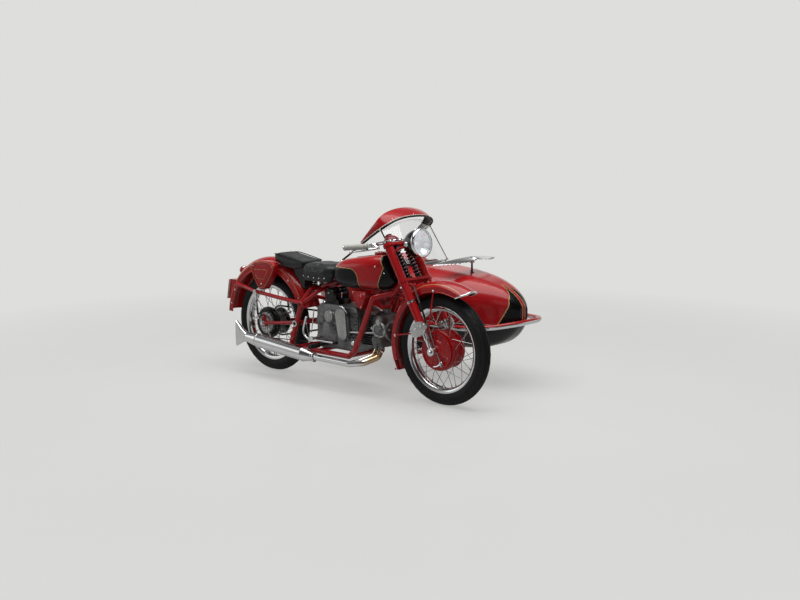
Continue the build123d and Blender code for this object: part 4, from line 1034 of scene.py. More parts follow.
def make_head():
    piece = Piece("cylinder_head_casting", "chassis", ALLOY, DARK_STEEL, CHROME, POLISHED, IVORY)
    piece.lathe([(0, 0.4), (68, 0.4), (70, 4), (64, 8), (62, 70), (54, 80), (38, 85.5), (0, 86)],
                (1012, 0, 390), AHEAD)
    for k in range(7):
        fin(piece, 1017 + 9.5 * k, 3.6, 88, 282 + k * 2.0, 508 - k * 3.0, 58)
    lean = Matrix.Rotation(0.12, 4, "Y")
    for y in (-58, 58):
        piece.block((1052, y, 452), (58, 62, 74), 12, lean, 3)
    piece.use(POLISHED)
    for side in (-1, 1):
        piece.block((1056, side * 62, 452), (46, 60, 60), 10, lean, 3)
        piece.lathe(cap(20, 8, 4, 3), (1056, side * 88, 452), (0, side, 0), 24)
    piece.use(DARK_STEEL)
    for z in (424, 480):
        for x in (1036, 1076):
            for side in (-1, 1):
                piece.bolt((x, side * 86, z), (0, side, 0), 4, 5)
    piece.use(ALLOY).lathe([(0, 0), (24, 0), (24, 4), (20, 6), (20, 30), (24, 33), (24, 60), (0, 60)],
                           (1048, 0, 464), UP, 28)
    cover_out, port_out = (0.15, -1, 0), (0.1, -1, 0)
    piece.lathe([(0, 0), (50, 0), (50, 6), (46, 11), (36, 12), (34, 8), (20, 9), (16, 14), (0, 15)],
                (1060, -80, 404), cover_out)
    piece.lathe([(0, 0), (34, 0), (34, 6), (30, 10), (18, 10), (16, 6), (0, 6)],
                (1036, -82, 334), port_out, 40)
    piece.use(POLISHED).lathe([(36, 10.5), (46, 9.6), (47, 11.6), (45, 13.4), (37, 13.6), (35, 12)],
                              (1060, -80, 404), cover_out, closed=True)
    piece.use(DARK_STEEL)
    for a in (radians(k * 51.4 + 12) for k in range(7)):
        piece.bolt((1058.1 + 41 * cos(a), -93, 404 + 41 * sin(a)), cover_out, 3.6, 4)
    piece.bolts(circle((1036, -92, 334), 24, 3, 200), port_out, 3.4, 4)
    for x in (1012, 1052):
        piece.use(ALLOY)
        piece.lathe([(0, 0), (26, 0), (26, 9), (22, 11), (22, 34), (0, 34)], (x, -60, 318), DOWN, 24)
        piece.use(DARK_STEEL).bolts([(x - 19, -76, 313), (x + 19, -76, 313)], DOWN, 3.6, 5)
    plug, plug_out = (1092, -30, 400), (0.6, -0.75, 0.2)
    piece.use(IVORY).lathe([(0, 0), (7, 0), (7.5, 8), (5.5, 12), (6.5, 16), (5.5, 20), (4, 30), (0, 30)],
                           plug, plug_out, 16)
    piece.use(CHROME).lathe([(0, -8), (10, -8), (10, 0), (0, 0)], plug, plug_out, 6)
    piece.done(32, "alloy", "cylinder_head")


def make_magneto():
    piece = Piece("magneto_and_coil", "chassis", BLACK, CHROME, DARK_STEEL)
    piece.lathe([(0, 0), (38, 0), (40, 3), (44, 5), (49.5, 9), (50, 14), (50, 36), (47, 38), (47, 44),
                 (50, 46), (50, 104), (47, 108), (47, 116), (50, 118), (50, 124), (46, 130), (20, 132),
                 (0, 132)], (628, -82, 574))
    piece.slab([(568, 520.4), (698, 520.4), (692, 548), (672, 560), (590, 560), (572, 544)], 44, -69, 4)
    piece.use(DARK_STEEL).bolts(circle((628, -81, 574), 34, 4, 45), RIGHT, 3.4, 4)
    piece.use(CHROME).block((622, -83, 590), (16, 5, 9))
    piece.lathe([(50.2, -4), (51.4, -3), (51.4, 3), (50.2, 4)], (628, -22, 574), steps=40)
    piece.done(32, "black_paint", "dynamo")


def make_controls():
    """Footrests, gear lever with its rubber, and the long pedal loop on the right."""
    piece = Piece("foot_controls_detailed", "chassis", CHROME, RUBBER, DARK_STEEL)
    ribs = []
    for k in range(10):
        ribs += [(16, 2 + k * 8), (16, 7 + k * 8), (13.6, 8 + k * 8), (13.6, 9.4 + k * 8)]
    for side in (-1, 1):
        piece.use(DARK_STEEL).tube([(600, side * 92.3, 264), (600, side * 152, 264)], [14, 10], 14)
        piece.use(RUBBER).lathe([(0, 0), (13, 0)] + ribs + [(16, 82), (14, 85), (0, 85)],
                                (600, side * 150, 264), (0, side, 0), 20)
    piece.use(CHROME).tube([(545, -92.3, 300), (545, -170, 300)], 9, 14)
    loop = [(502, 434), (487, 390), (476, 355), (486, 318), (520, 296), (560, 292), (620, 296), (700, 299),
            (764, 301)]
    piece.tube(smooth_path([(x, -170, z) for x, z in loop], 5), 6.6, 12)
    piece.tube([(502, -170, 432), (500, -150, 440)], 7, 12)
    piece.use(RUBBER)
    piece.lathe([(0, 0), (10, 0), (11, 2), (11, 30), (10, 32), (0, 32)], (770, -158, 302), RIGHT, 18)
    piece.use(CHROME).lathe([(9, 0), (15, 0), (15, 10), (9, 10)], (545, -160, 300), RIGHT, 20)
    piece.done(34, "chrome", "foot_controls")


make_crankcase()
make_cylinder()
make_head()
make_magneto()
make_controls()


# ---------------------------------------------------------------- fork, bars and lamp
def axis_x(z):
    """X of the steering axis at height z."""
    return leg(z).x - FORK_OFFSET / cos(LEAN)


def axis_point(z):
    return Vector((axis_x(z), 0, z))


def make_springs():
    """The two bright coil springs between the yokes, with their rods and cups."""
    piece = Piece("girder_springs", "steering", DARK_SPRING_PAINTED_REFLECTION, DARK_STEEL, BLACK)
    low, high = axis_point(700 - 6 * cos(LEAN)), axis_point(880 + 6 * cos(LEAN))
    cup = [(0, 0), (20, 0), (21.4, 2), (21.4, 11), (19, 14), (0, 14)]
    for side in (-1, 1):
        foot = low + YOKE_FORWARD * FORK_OFFSET + Vector((0, side * 44, 0)) + YOKE_UP * 0.3
        head = foot + YOKE_UP * ((high - low).length - 0.6)
        # The coils' pink tint is a painted reflection of the red paint.
        piece.use(DARK_SPRING_PAINTED_REFLECTION).coil(foot + YOKE_UP * 14, head - YOKE_UP * 14, 17.6, 4.2, 9, 10)
        piece.use(BLACK).tube([foot, head], 13, 16)
        piece.use(DARK_STEEL).lathe(cup, foot, YOKE_UP, 24)
        piece.lathe(cup, head, -YOKE_UP, 24)
    piece.done(36, "iron", "fork_springs")


def make_fork_trim():
    """Bolts, clamps and leg caps on the fork."""
    piece = Piece("fork_trim", "steering", CHROME)
    for side in (-1, 1):
        y = side * LEG_Y
        top = leg(935, y)
        piece.lathe([(0, 0), (24, 0), (24, 3), (18, 6), (13, 6.4)], top, YOKE_UP, 28)
        piece.lathe([(13, 5), (13, 13), (10, 16), (0, 16)], top, YOKE_UP, 6)
        for z, r in ((604, 28.0), (474, 28.2)):
            piece.lathe([(25.8, -7), (r, -6), (r + 0.6, 0), (r, 6), (25.8, 7)], leg(z, y), YOKE_UP, 36)
            piece.bolt(leg(z, y + side * 27.5), (0, side, 0), 4.6, 6)
        for z in (686, 896):
            out = Vector((-0.35, side, 0)).normalized()
            piece.bolt(leg(z, y) + out * 30, out, 6.4, 7, 14)
    piece.done(34, "chrome")


def make_headlamp():
    """Black bowl, chrome rim, mirror bowl and bulb with a painted glow, and a fluted glass."""
    back, out = Vector((1215, 0, 927)), Vector((120, 0, 15)).normalized()
    bowl = Piece("headlamp_bowl", "steering", BLACK, CHROME)
    bowl.lathe([(0, 0), (12, 0.4), (24, 2.6), (36, 7), (48, 14), (60, 25), (69, 38), (76, 54), (80.5, 70),
                (82.6, 88), (83, 106), (79, 106), (79, 102), (70, 94), (60, 84), (50, 76), (40, 69), (30, 64),
                (20, 60), (0, 57)], back, out, 72)
    bowl.use(CHROME).bolt(back + out * 62 + Vector((0, 0, 80)), UP, 7, 7, 16)
    for side in (-1, 1):
        bowl.lathe([(0, 0), (15, 0), (15, 5), (11, 9), (0, 10)], back + out * 62 + Vector((0, side * 78, 0)),
                   (0, side, 0), 24)
    bowl.done(40, "black_paint", "headlamp")
    rim = Piece("headlamp_bezel", "steering", CHROME)
    rim.lathe([(83.4, 104), (86.4, 106), (87.4, 110), (87, 118), (84.6, 123), (80.5, 125.5), (77, 124.6),
               (75.6, 121), (76.5, 117), (80, 112), (81, 106)], back, out, 80, closed=True)
    rim.bolt(back + out * 116 - Vector((0, 0, 86)), (0.2, 0, -1), 4, 5)
    rim.done(40, "chrome", "headlamp_rim")
    # The reflector and bulb glow faintly: painted glow, though the lamp is not lit.
    mirror = Piece("headlamp_reflector", "steering", MIRROR_BOWL_PAINTED_GLOW)
    bowl_curve = [(r, 108 - 46 * (1 - (r / 78) ** 2)) for r in (78, 70, 60, 50, 40, 30, 20, 12)]
    mirror.lathe([(80, 108)] + bowl_curve + [(9, 62), (9, 72), (0, 72)], back, out, 72)
    mirror.lathe([(0, 74), (7, 75), (10, 81), (9, 89), (5, 94), (0, 95.5)], back, out, 24)
    mirror.done(60, "chrome")
    pane = Piece("headlamp_glass", "steering", LAMP_PANE)
    side, up = turn_about(out)
    rows = []
    steps = 72
    for k in range(steps):
        a = 2 * pi * k / steps
        front = []
        for r in (76, 68, 58, 46, 34, 22, 10):
            flute = 0.7 * cos(r * cos(a) * 0.55) if r < 72 else 0
            front.append((r, 119 + 10.5 * (1 - (r / 76) ** 2) + flute))
        section = front + [(r, y - 3.2) for r, y in reversed(front)]
        rows.append([back + out * y + (side * cos(a) + up * sin(a)) * r for r, y in section])
    pane.grid(rows, loop=True)
    pane.lathe([(0, 129.6), (10.2, 129.2)], back, out, steps)
    pane.lathe([(0, 126.2), (10.2, 126.0)], back, out, steps)
    pane.done(60, "lamp_glass", "headlamp_lens")


def make_grips():
    """Ribbed ivory grips with a collar at each end."""
    piece = Piece("ribbed_grips", "steering", IVORY)
    for side in (-1, 1):
        inner, outer = Vector((1121, side * 240, 925.8)), Vector((1045.5, side * 360, 921.2))
        length = (outer - inner).length
        profile = [(11.4, 0), (19, 0), (20, 2.5), (19, 5), (15.6, 7)]
        ribs = 15
        for k in range(ribs):
            t = 10 + (length - 26) * k / ribs
            r = 15.2 + 1.4 * sin(pi * k / ribs)
            profile += [(r, t), (r + 1, t + 1.2), (r + 1, t + 4.0), (r, t + 5.2)]
        profile += [(15.4, length - 12), (17, length - 9), (17, length - 3), (14.5, length),
                    (0, length + 0.5)]
        piece.lathe(profile, inner, outer - inner, 28)
    piece.done(40, "ivory_grip", "grips")


def make_bar_controls():
    """Lever blades with ball ends, their clamps, and the bar's own clamps."""
    piece = Piece("bar_controls", "steering", CHROME, DARK_STEEL, BLACK)
    ball = [(7.4 * sin(a), -7.4 * cos(a)) for a in (pi * k / 10 for k in range(11))]
    for side in (-1, 1):
        pivot = Vector((1152, side * 186, 914))
        piece.use(CHROME)
        piece.lathe([(11.2, -11), (15, -10), (15, 10), (11.2, 11)], (1117.5, side * 190, 928),
                    (-0.45, side * 0.9, 0), 24)
        piece.tube([(1122, side * 190, 922), (1140, side * 188, 916), pivot], [9, 7.5, 8], 12)
        piece.lathe([(0, -7), (10, -7), (10, 7), (0, 7)], pivot, (0.1, 0, 1), 20)
        piece.bolt(pivot + Vector((0, 0, 7)), (0.1, 0, 1), 4.6, 4)
        blade = smooth_path([(1155, side * 182, 914), (1150, side * 206, 910), (1128, side * 246, 904),
                             (1102, side * 292, 899), (1080, side * 332, 896)], 5)
        piece.tube(blade, [6.5] * 4 + [5.2] * (len(blade) - 6) + [5.6, 6.4], squash=0.7)
        piece.lathe(ball, (1077, side * 337, 895.6), UP, 16)
        riser = Vector((1115.7, side * 42, 935.7))
        piece.lathe([(11.2, -12), (17, -12), (18, -10), (18, 10), (17, 12), (11.2, 12)], riser, LEFT, 28)
        piece.use(DARK_STEEL).bolts([riser + Vector((dx, 0, 13)) for dx in (-12, 12)], UP, 4.4, 5)
    piece.use(BLACK).lathe([(11.2, -9), (17, -8), (17, 8), (11.2, 9)], (1113, 160, 931), (-0.1, 0.9, 0), 24)
    piece.lathe(cap(12, 13, 4, 3), (1108, 160, 942), (-0.2, 0, 1), 20)
    piece.done(34, "chrome")


def make_cap_trim():
    """Polished ring and knurled knob on the steering damper's dome."""
    piece = Piece("steering_cap_trim", "steering", CHROME, DARK_RED)
    base = axis_point(880 + 6 * cos(LEAN)) + YOKE_UP * 40.3
    piece.lathe([(50.4, 1), (53.4, 2), (53.8, 5), (52.6, 8), (50, 9)], base, YOKE_UP)
    knob = base + YOKE_UP * 49
    side, up = turn_about(YOKE_UP)
    rows = []
    for k in range(64):
        a = 2 * pi * k / 64
        swell = k % 2
        out = side * cos(a) + up * sin(a)
        profile = [(24, -4), (22 + swell, 2), (20 + swell, 3), (20 + swell, 10), (17, 13), (8, 14), (0.1, 14)]
        rows.append([knob + YOKE_UP * y + out * r for r, y in profile])
    piece.use(DARK_RED).grid(rows, ring=False, loop=True)
    piece.done(34, "red_paint")


make_springs()
make_fork_trim()
make_headlamp()
make_grips()
make_bar_controls()
make_cap_trim()


# ---------------------------------------------------------------- rear end
def make_swing_arm():
    """Swinging arm, axle, damper ears and the rear brake plate: a black ring round a bright face."""
    piece = Piece("swing_arm_links", "chassis", RED, BLACK, POLISHED, CHROME, DARK_STEEL)
    for side in (-1, 1):
        y, out = side * 90, (0, side, 0)
        arm = [(358, y, 372), (300, y, 365.2), (60, y, 337), (0, y, AXLE_Z)]
        piece.use(RED).tube(arm, [14, 12, 12, 12], 20)
        piece.lathe([(10, -7), (24, -7), (26, -5), (26, 5), (24, 7), (10, 7)], (0, y, AXLE_Z), LEFT, 40)
        piece.slab([(-18, 332), (18, 332), (9, 376), (-21, 376)], y - side * 7, y + side * 7, 1.5, 1)
        piece.lathe([(0, -7), (15, -7), (16, -5), (16, 5), (15, 7), (0, 7)], (-6, y, 376), LEFT, 32)
        nut = [(10, 7), (17, 7), (17, 9), (14, 10), (14, 20), (10, 22)]
        piece.use(CHROME).lathe(nut, (0, y, AXLE_Z), out, 6)
        piece.use(DARK_STEEL).lathe([(0, 98), (14, 98), (14, 101.5), (0, 101.5)], (358, 0, 372), out, 24)
    piece.use(RED).tube([(358, -98, 372), (358, 98, 372)], 16, 28)
    piece.use(CHROME).tube([(0, -118, AXLE_Z), (0, 118, AXLE_Z)], 9.8, 20)
    piece.use(BLACK).lathe([(72, -72), (91, -72), (92, -73), (92, -76.5), (90.5, -78), (73, -78), (72, -77)],
                           REAR_AXLE, steps=80, closed=True)
    piece.use(POLISHED).lathe([(9, -72), (72, -72), (72, -75), (60, -76), (56, -77.6), (52, -76), (34, -76.6),
                               (32, -82), (9, -82)], REAR_AXLE, steps=80, closed=True)
    for near, far in zip(circle((0, -76.6, AXLE_Z), 34, 10), circle((0, -76, AXLE_Z), 70, 10)):
        piece.tube([near, far], [2.6, 2.0], 6)
    piece.use(CHROME).tube([(40, -76, 268), (40, -88, 268)], 8, 16)
    piece.tube([(40, -86, 268), (58, -87, 244), (66, -87, 232)], [6, 4.6, 4], squash=0.6)
    piece.use(DARK_STEEL).tube([(62, -94, 238), (300, -98, 252), (486, -104, 262)], 3.4, 8)
    piece.done(34, "red_paint", "swing_arm")


def make_dampers():
    """Telescopic dampers: polished outer tube, dark rod, and eyes with domed nuts."""
    piece = Piece("rear_dampers_polished", "chassis", CHROME, DARK_STEEL, RUBBER)
    for side in (-1, 1):
        high, low = Vector((-30, side * 137, 542)), Vector((-6, side * 137, 376))
        span = (low - high).length
        piece.use(CHROME).lathe([(6, 12), (8.6, 14), (8.6, 22), (7.6, 24), (7.6, span * 0.55),
                                 (8.6, span * 0.56), (8.6, span * 0.60), (5, span * 0.61)],
                                high, low - high, 24)
        piece.use(DARK_STEEL).tube([high + (low - high) * 0.58, low], 5.2, 14)
        rings = []
        for k in range(6):
            t = span * 0.62 + k * 7.5
            rings += [(5.2, t), (8.2, t + 2), (8.2, t + 4.5), (5.2, t + 6.5)]
        piece.use(RUBBER).lathe(rings, high, low - high, 20)
        piece.use(CHROME)
        for place, r, inner in ((high, 18, 135.6), (low, 14, 97.4)):
            start = Vector((place.x, side * inner, place.z))
            length = 146 - inner
            eye = [(0, 0), (r - 1, 0), (r, 1.5), (r, length - 2), (r - 2, length), (0, length)]
            piece.lathe(eye, start, (0, side, 0), 32)
            piece.bolt((place.x, side * 146, place.z), (0, side, 0), r * 0.5, 6)
    piece.done(36, "chrome", "rear_dampers")


def make_cases():
    """Tool cases on the rear mudguard, with a raised border and a gold-lined panel."""
    piece = Piece("tool_cases_lined", "chassis", RED, GOLD, CHROME)
    outline = [(-92, 700), (-62, 738), (0, 752), (70, 755), (132, 744), (152, 722), (120, 660), (52, 575),
               (22, 565), (-12, 568), (-62, 640)]
    middle = Vector((34, 0, 680))
    loop = smooth_path([(x, 0, z) for x, z in outline], 5, loop=True)
    panel = filleted([(9, 0, 695), (86, 0, 698), (43, 0, 632), (-19, 0, 633), (-68, 0, 693), (9, 0, 695)],
                     12, 5)
    edge = ((76.3, 1.0), (118, 1.0), (123, 0.985), (125.5, 0.955), (126.2, 0.93))

    def ring(grow, y):
        """The case's outline drawn in by a factor, at an offset from the middle plane."""
        return [middle + (p - middle) * grow + Vector((0, y, 0)) for p in loop]

    for side in (-1, 1):
        piece.use(RED).grid([ring(grow, side * y) for y, grow in edge], caps=True)
        for grow in (0.84, 0.74):
            piece.tube(ring(grow, side * 126.0), 2.6, 8, loop=True)
        piece.use(GOLD).tube(ring(0.9, side * 126.4), 1.1, 6, loop=True)
        piece.tube([p + Vector((0, side * 126.4, 0)) for p in panel[:-1]], 1.3, 6, loop=True)
        face, out = side * 126, (0, side, 0)
        piece.use(CHROME).bolt((18, face, 600), out, 6, 4, 16)
        piece.bolts([(-60, face, 716), (128, face, 722)], out, 4.4, 3.5, 14)
    piece.done(40, "red_paint", "tool_cases")


def make_tail():
    """Red tail lamp with a bright bezel, and the blank plate with a beaded border."""
    angle = radians(134.5)
    out = Vector((cos(angle), 0, sin(angle)))
    base = Vector(REAR_GUARD_C) + out * 430
    lamp = Piece("tail_lamp_lens", "chassis", RED, CHROME, TAIL)
    lamp.lathe([(0, 0), (30, 0), (30, 20), (29, 27)], base, out)
    lamp.use(CHROME).lathe([(29, 20), (30.2, 21), (30.2, 25), (28, 27), (26, 26.5)], base, out)
    dome = [(27 * cos(a), 26 + 17.5 * sin(a)) for a in (radians(t) for t in range(0, 91, 10))]
    lamp.use(TAIL).lathe([(r, y - 0.9 * (k % 2)) for k, (r, y) in enumerate(dome)], base, out)
    lamp.done(40, "red_lens", "tail_lamp")
    plate = Piece("blank_plate", "chassis", PLATE, BLACK, CHROME)
    up = Vector((26, 0, 138)).normalized()
    back = Vector((-up.z, 0, up.x))
    centre = Vector((-425.1, 0, 521))
    plate.block(centre, (3.2, 110, 140), 1.2, Matrix.Rotation(atan2(26, 138), 4, "Y"))
    border = [Vector((0, y, 0)) + up * z for sy, sz, start in CORNERS
              for y, z in arc(sy * 42, sz * 57, 8, 5, start, 90)]
    plate.use(BLACK).tube([centre + p + back * 1.4 for p in border], 1.3, 6, loop=True)
    corners = [Vector((0, y, 0)) + up * z for y in (-38, 38) for z in (-34, 34)]
    plate.use(CHROME).bolts([centre + p + back * 1.2 for p in corners], back, 3.2, 1.4, 12)
    plate.done(36, "white_plate", "number_plate")


def make_exhaust_trim():
    """Clamps, port nuts, silencer seams and its bracket."""
    piece = Piece("exhaust_trim", "chassis", CHROME, DARK_STEEL)
    for x, r in ((1052, 19), (1012, 17)):
        nut = [(r, -2), (r + 5, -1), (r + 5.6, 3), (r + 5, 9), (r, 10)]
        piece.lathe(nut, (x, -60, 268), (0, -0.3, 1), 24)
    for x, r in ((596, 24.5), (578, 26.5)):
        clamp = [(r - 3, -5), (r + 1, -4), (r + 1.6, 0), (r + 1, 4), (r - 3, 5)]
        piece.lathe(clamp, (x, PIPE_Y, 193.2), AHEAD, 40)
    piece.use(DARK_STEEL).block((596, PIPE_Y, 166), (10, 12, 14))
    piece.tube([(596, PIPE_Y - 12, 165), (596, PIPE_Y + 12, 165)], 3.4, 8)
    piece.use(CHROME)
    turn = [2 * pi * k / 48 for k in range(48)]
    for x, z, half_y, r in ((500, 198, 45, 45), (60, 232, 46, 46), (-62, 241, 27, 30)):
        seam = [(x, PIPE_Y + (half_y + 0.4) * cos(a), z + (r + 0.4) * sin(a)) for a in turn]
        piece.tube(seam, 1.9, 8, loop=True)
    mouth = []
    for a in turn:
        y, z = copysign(abs(cos(a)) ** 0.5, cos(a)), copysign(abs(sin(a)) ** 0.9, sin(a))
        mouth.append((-167, PIPE_Y + 12.4 * y, 256 + 84.5 * z))
    piece.tube(mouth, 1.8, 8, loop=True)
    piece.done(40, "chrome")


def make_flywheel():
    """Polished outside flywheel with a stepped face, lightening holes and a nut."""
    piece = Piece("flywheel_turned", "chassis", POLISHED, DARK_STEEL, CHROME)
    centre = (790, 0, 360)
    piece.lathe([(0, 134.4), (136, 134.4), (138, 136.4), (138, 151.6), (136, 154), (112, 154), (108, 151),
                 (52, 149), (48, 152), (34, 152), (30, 150), (0, 150)], centre, steps=96)
    for hole in circle(centre, 80, 6, 30):
        piece.use(DARK_STEEL).lathe([(0, 150.4), (15, 150.4)], hole, steps=24)
        piece.use(CHROME).lathe([(14.4, 149.6), (16.6, 151.2), (18, 149.6)], hole, steps=24)
    piece.use(DARK_STEEL).lathe([(0, 150), (20, 150), (20, 153.6), (0, 153.6)], centre, steps=6)
    piece.use(POLISHED).lathe([(0, 90), (44, 90), (44, 134.4), (0, 134.4)], centre, steps=40)
    piece.done(34, "iron", "flywheel")


make_swing_arm()
make_dampers()
make_cases()
make_tail()
make_exhaust_trim()
make_flywheel()


# ---------------------------------------------------------------- stuffed seats
def bake(obj):
    """Applies the object's modifiers to its mesh."""
    graph = bpy.context.evaluated_depsgraph_get()
    made = bpy.data.meshes.new_from_object(obj.evaluated_get(graph))
    obj.modifiers.clear()
    obj.data = made


def inflate(obj, held, limit, pressure):
    """Blows the mesh up as cloth that is pinned where held says, and moves no point past the limit."""
    to_station = obj.matrix_world.copy()
    group = obj.vertex_groups.new(name="held")
    for vert in obj.data.vertices:
        weight = held((to_station @ vert.co - ORIGIN) / MM)
        if weight > 0:
            group.add([vert.index], weight, "REPLACE")
    cloth = obj.modifiers.new("cloth", "CLOTH")
    settings = cloth.settings
    settings.use_pressure, settings.uniform_pressure_force = True, pressure
    settings.effector_weights.gravity = 0.0
    settings.quality, settings.mass = 5, 0.3
    settings.tension_stiffness = settings.compression_stiffness = 12.0
    settings.shear_stiffness, settings.bending_stiffness = 6.0, 0.6
    settings.vertex_group_mass = "held"
    for step in range(1, 21):
        bpy.context.scene.frame_set(step)
    shaped = obj.evaluated_get(bpy.context.evaluated_depsgraph_get()).to_mesh()
    moved = [v.co.copy() for v in shaped.vertices]
    obj.evaluated_get(bpy.context.evaluated_depsgraph_get()).to_mesh_clear()
    obj.modifiers.remove(cloth)
    bpy.context.scene.frame_set(1)
    for vert, place in zip(obj.data.vertices, moved):
        step = place - vert.co
        if step.length > limit * MM:
            step *= limit * MM / step.length
        vert.co += step


def cushion(name, node, look, voxel, held, limit, swell, pressure):
    """A stuffed copy of a seat: remeshed, drawn in, blown up as cloth, and kept near its first form."""
    source = frame["nodes"][node]
    obj = add_object(name, source.data.copy())
    obj.matrix_world = source.matrix_world.copy()
    bpy.context.view_layer.update()
    remesh = obj.modifiers.new("remesh", "REMESH")
    remesh.mode, remesh.voxel_size = "VOXEL", voxel * MM
    bake(obj)
    bm = bmesh.new()
    bm.from_mesh(obj.data)
    for _ in range(6):
        bmesh.ops.smooth_vert(bm, verts=bm.verts, factor=0.5, use_axis_x=True, use_axis_y=True,
                              use_axis_z=True)
    bm.normal_update()
    for vert in bm.verts:
        vert.co -= vert.normal * swell * MM
    bm.to_mesh(obj.data)
    bm.free()
    inflate(obj, held, limit, pressure)
    obj.modifiers.new("smooth", "SUBSURF").levels = 1
    bake(obj)
    obj.data.materials.clear()
    obj.data.materials.append(look)
    for face in obj.data.polygons:
        face.use_smooth, face.material_index = True, 0
    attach(obj, "chassis")
    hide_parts(node)


def near_line(value, places, width):
    """1 on any of the places, falling to 0 at the width from them."""
    return max(0.0, 1.0 - min(abs(value - p) for p in places) / width)


def saddle_held(p):
    return 1.0 if p.z < 704 else near_line(p.z, (704,), 9)


def pillion_held(p):
    if p.z < 712 or (p.x > 352 and abs(p.y) < 64 and p.z < 735):
        return 1.0
    return near_line(p.y, (-44, 0, 44), 7) if p.z > 760 and 130 < p.x < 372 else 0.0


def car_seat_held(p):
    seams = near_line(p.y - CAR_Y, (-150, -90, -30, 30, 90, 150), 9)
    if p.z > 440 or p.x > 440:
        return 1.0 if seams > 0.5 or p.z < 300 else 0.0
    return 1.0 if p.z < 400 else 0.0


def make_seat_trim():
    """Chrome studs and piping on the saddle and the pillion seat."""
    piece = Piece("saddle_studs", "chassis", CHROME, SEAT)
    upper = [(118, 87.5, 806), (180, 88, 804), (300, 88, 784), (382, 87.5, 768)]
    lower = [(115, 88, 738), (200, 89, 736), (300, 89, 731), (380, 88, 738)]
    for side in (-1, 1):
        piece.use(CHROME)
        for x, y, z in ((430, 119.5, 688), (478, 122.5, 684), (526, 122.5, 682), (574, 122.5, 682),
                        (620, 119.5, 684)):
            piece.bolt((x, side * y, z), (0, side, 0), 4.6, 3.4, 14)
        piece.use(SEAT)
        for line, radius in ((upper, 3.4), (lower, 3.2)):
            piece.tube(smooth_path([(x, side * y, z) for x, y, z in line], 5), radius, 8)
    piece.done(40, "chrome")


def make_saddle_springs():
    piece = Piece("saddle_coils", "chassis", DARK_STEEL, CHROME)
    for y in (-28, 28):
        piece.use(CHROME).coil((440, y, 624), (440, y, 697), 15.5, 2.9, 6, 8)
        piece.use(DARK_STEEL)
        piece.lathe([(0, 0), (17, 0), (18, 1.5), (18, 4), (9, 7), (0, 7)], (440, y, 617.4), UP, 24)
        piece.lathe([(0, 0), (18, 0), (18, 4), (9, 6), (0, 6)], (440, y, 702), DOWN, 24)
        piece.tube([(440, y, 618), (440, y, 702)], 5)
    piece.done(36, "iron", "saddle_springs")


cushion("saddle_stuffed", "saddle", SEAT, 5, saddle_held, 9, 3.0, 4.0)
cushion("pillion_stuffed", "pillion_seat", SEAT, 5, pillion_held, 9, 3.0, 4.0)
cushion("sidecar_seat_stuffed", "sidecar_seat", TRIM, 7, car_seat_held, 16, 5.0, 5.0)
make_seat_trim()
make_saddle_springs()


# ---------------------------------------------------------------- sidecar, tank and frame trim
def cast(start, way, node="sidecar_body"):
    """Where a ray in station millimetres meets a CAD node, and the normal there; nothing if it misses."""
    obj = frame["nodes"][node]
    back = obj.matrix_world.inverted()
    found, place, normal, _ = obj.ray_cast(back @ P(*start), (back.to_3x3() @ Vector(way)).normalized())
    if not found:
        return None, None
    return (obj.matrix_world @ place - ORIGIN) / MM, (obj.matrix_world.to_3x3() @ normal).normalized()


def stud(piece, node, side, x, z, radius, height, sides):
    """A domed stud on the side of a CAD node."""
    place, normal = cast((x, side * 400, z), (0, -side, 0), node)
    if place is not None:
        piece.bolt(place, normal, radius, height, sides)


def make_coaming():
    """Rolled edge round the cockpit, and the moulding where the body meets its hull."""
    piece = Piece("cockpit_coaming", "chassis", BLACK, CHROME)
    ring = []
    for sx, sy, start in CORNERS:
        ring += arc(535 + sx * 115, CAR_Y + sy * 112, 123, 8, start, 90)
    path = []
    for x, y in ring:
        place, _ = cast((x, y, 1400), DOWN)
        if place is not None:
            path.append(place + Vector((0, 0, 0.5)))
    piece.tube(smooth_path(path, 3, loop=True), 6.5, loop=True)
    piece.use(CHROME)
    for side in (-1, 1):
        line = []
        for k in range(60):
            place, _ = cast((-88 + 1676 * k / 59, CAR_Y + side * 500, 407), (0, -side, 0))
            if place is not None and (place.y - CAR_Y) * side > 10:
                line.append(place)
        piece.tube(line, 3.2, 8)
    piece.done(40, "black_paint")


def make_bumper():
    """Loop round the nose: red on its upward faces as a painted reflection of the red body above, and a
    polished strip below and outside.
    """
    piece = Piece("bumper_loop", "chassis", RED, CHROME, DARK_STEEL)
    half = [(880, 330, 395), (1400, 328, 398), (1550, 245, 410), (1640, 100, 426)]
    near = [(x, CAR_Y - y, z) for x, y, z in half]
    far = [(x, CAR_Y + y, z) for x, y, z in reversed(half)]
    faces = piece.tube(filleted(near + far, 190, 12), 17, 24)
    # Faces that look up stay red as a painted reflection of the red body; the rest turns chrome.
    piece.use(CHROME)
    for face in faces:
        face.normal_update()
    piece.paint(face for face in faces if face.normal.z < 0.3)
    for y in (CAR_Y - 330, CAR_Y + 330):
        piece.lathe([(17.2, 0), (15, -6), (9, -9.5), (0, -10.5)], (880, y, 395), AHEAD, 28)
    for side, rail_y in ((-1, 300), (1, 980)):
        for x in (900, 1110):
            piece.use(RED).tube([(x, rail_y, 320.6), (x, CAR_Y + side * 330, 390)], 11, 16)
            piece.use(DARK_STEEL).bolt((x, CAR_Y + side * 346.5, 392), (0, side, 0), 6, 4)
    piece.done(34, "red_paint", "sidecar_bumper")


def mirrored(rows):
    """Both halves of an arch given from one foot to the top."""
    near = [(x, CAR_Y - half, z) for half, x, z in rows]
    return near + [(x, CAR_Y + half, z) for half, x, z in reversed(rows) if half]


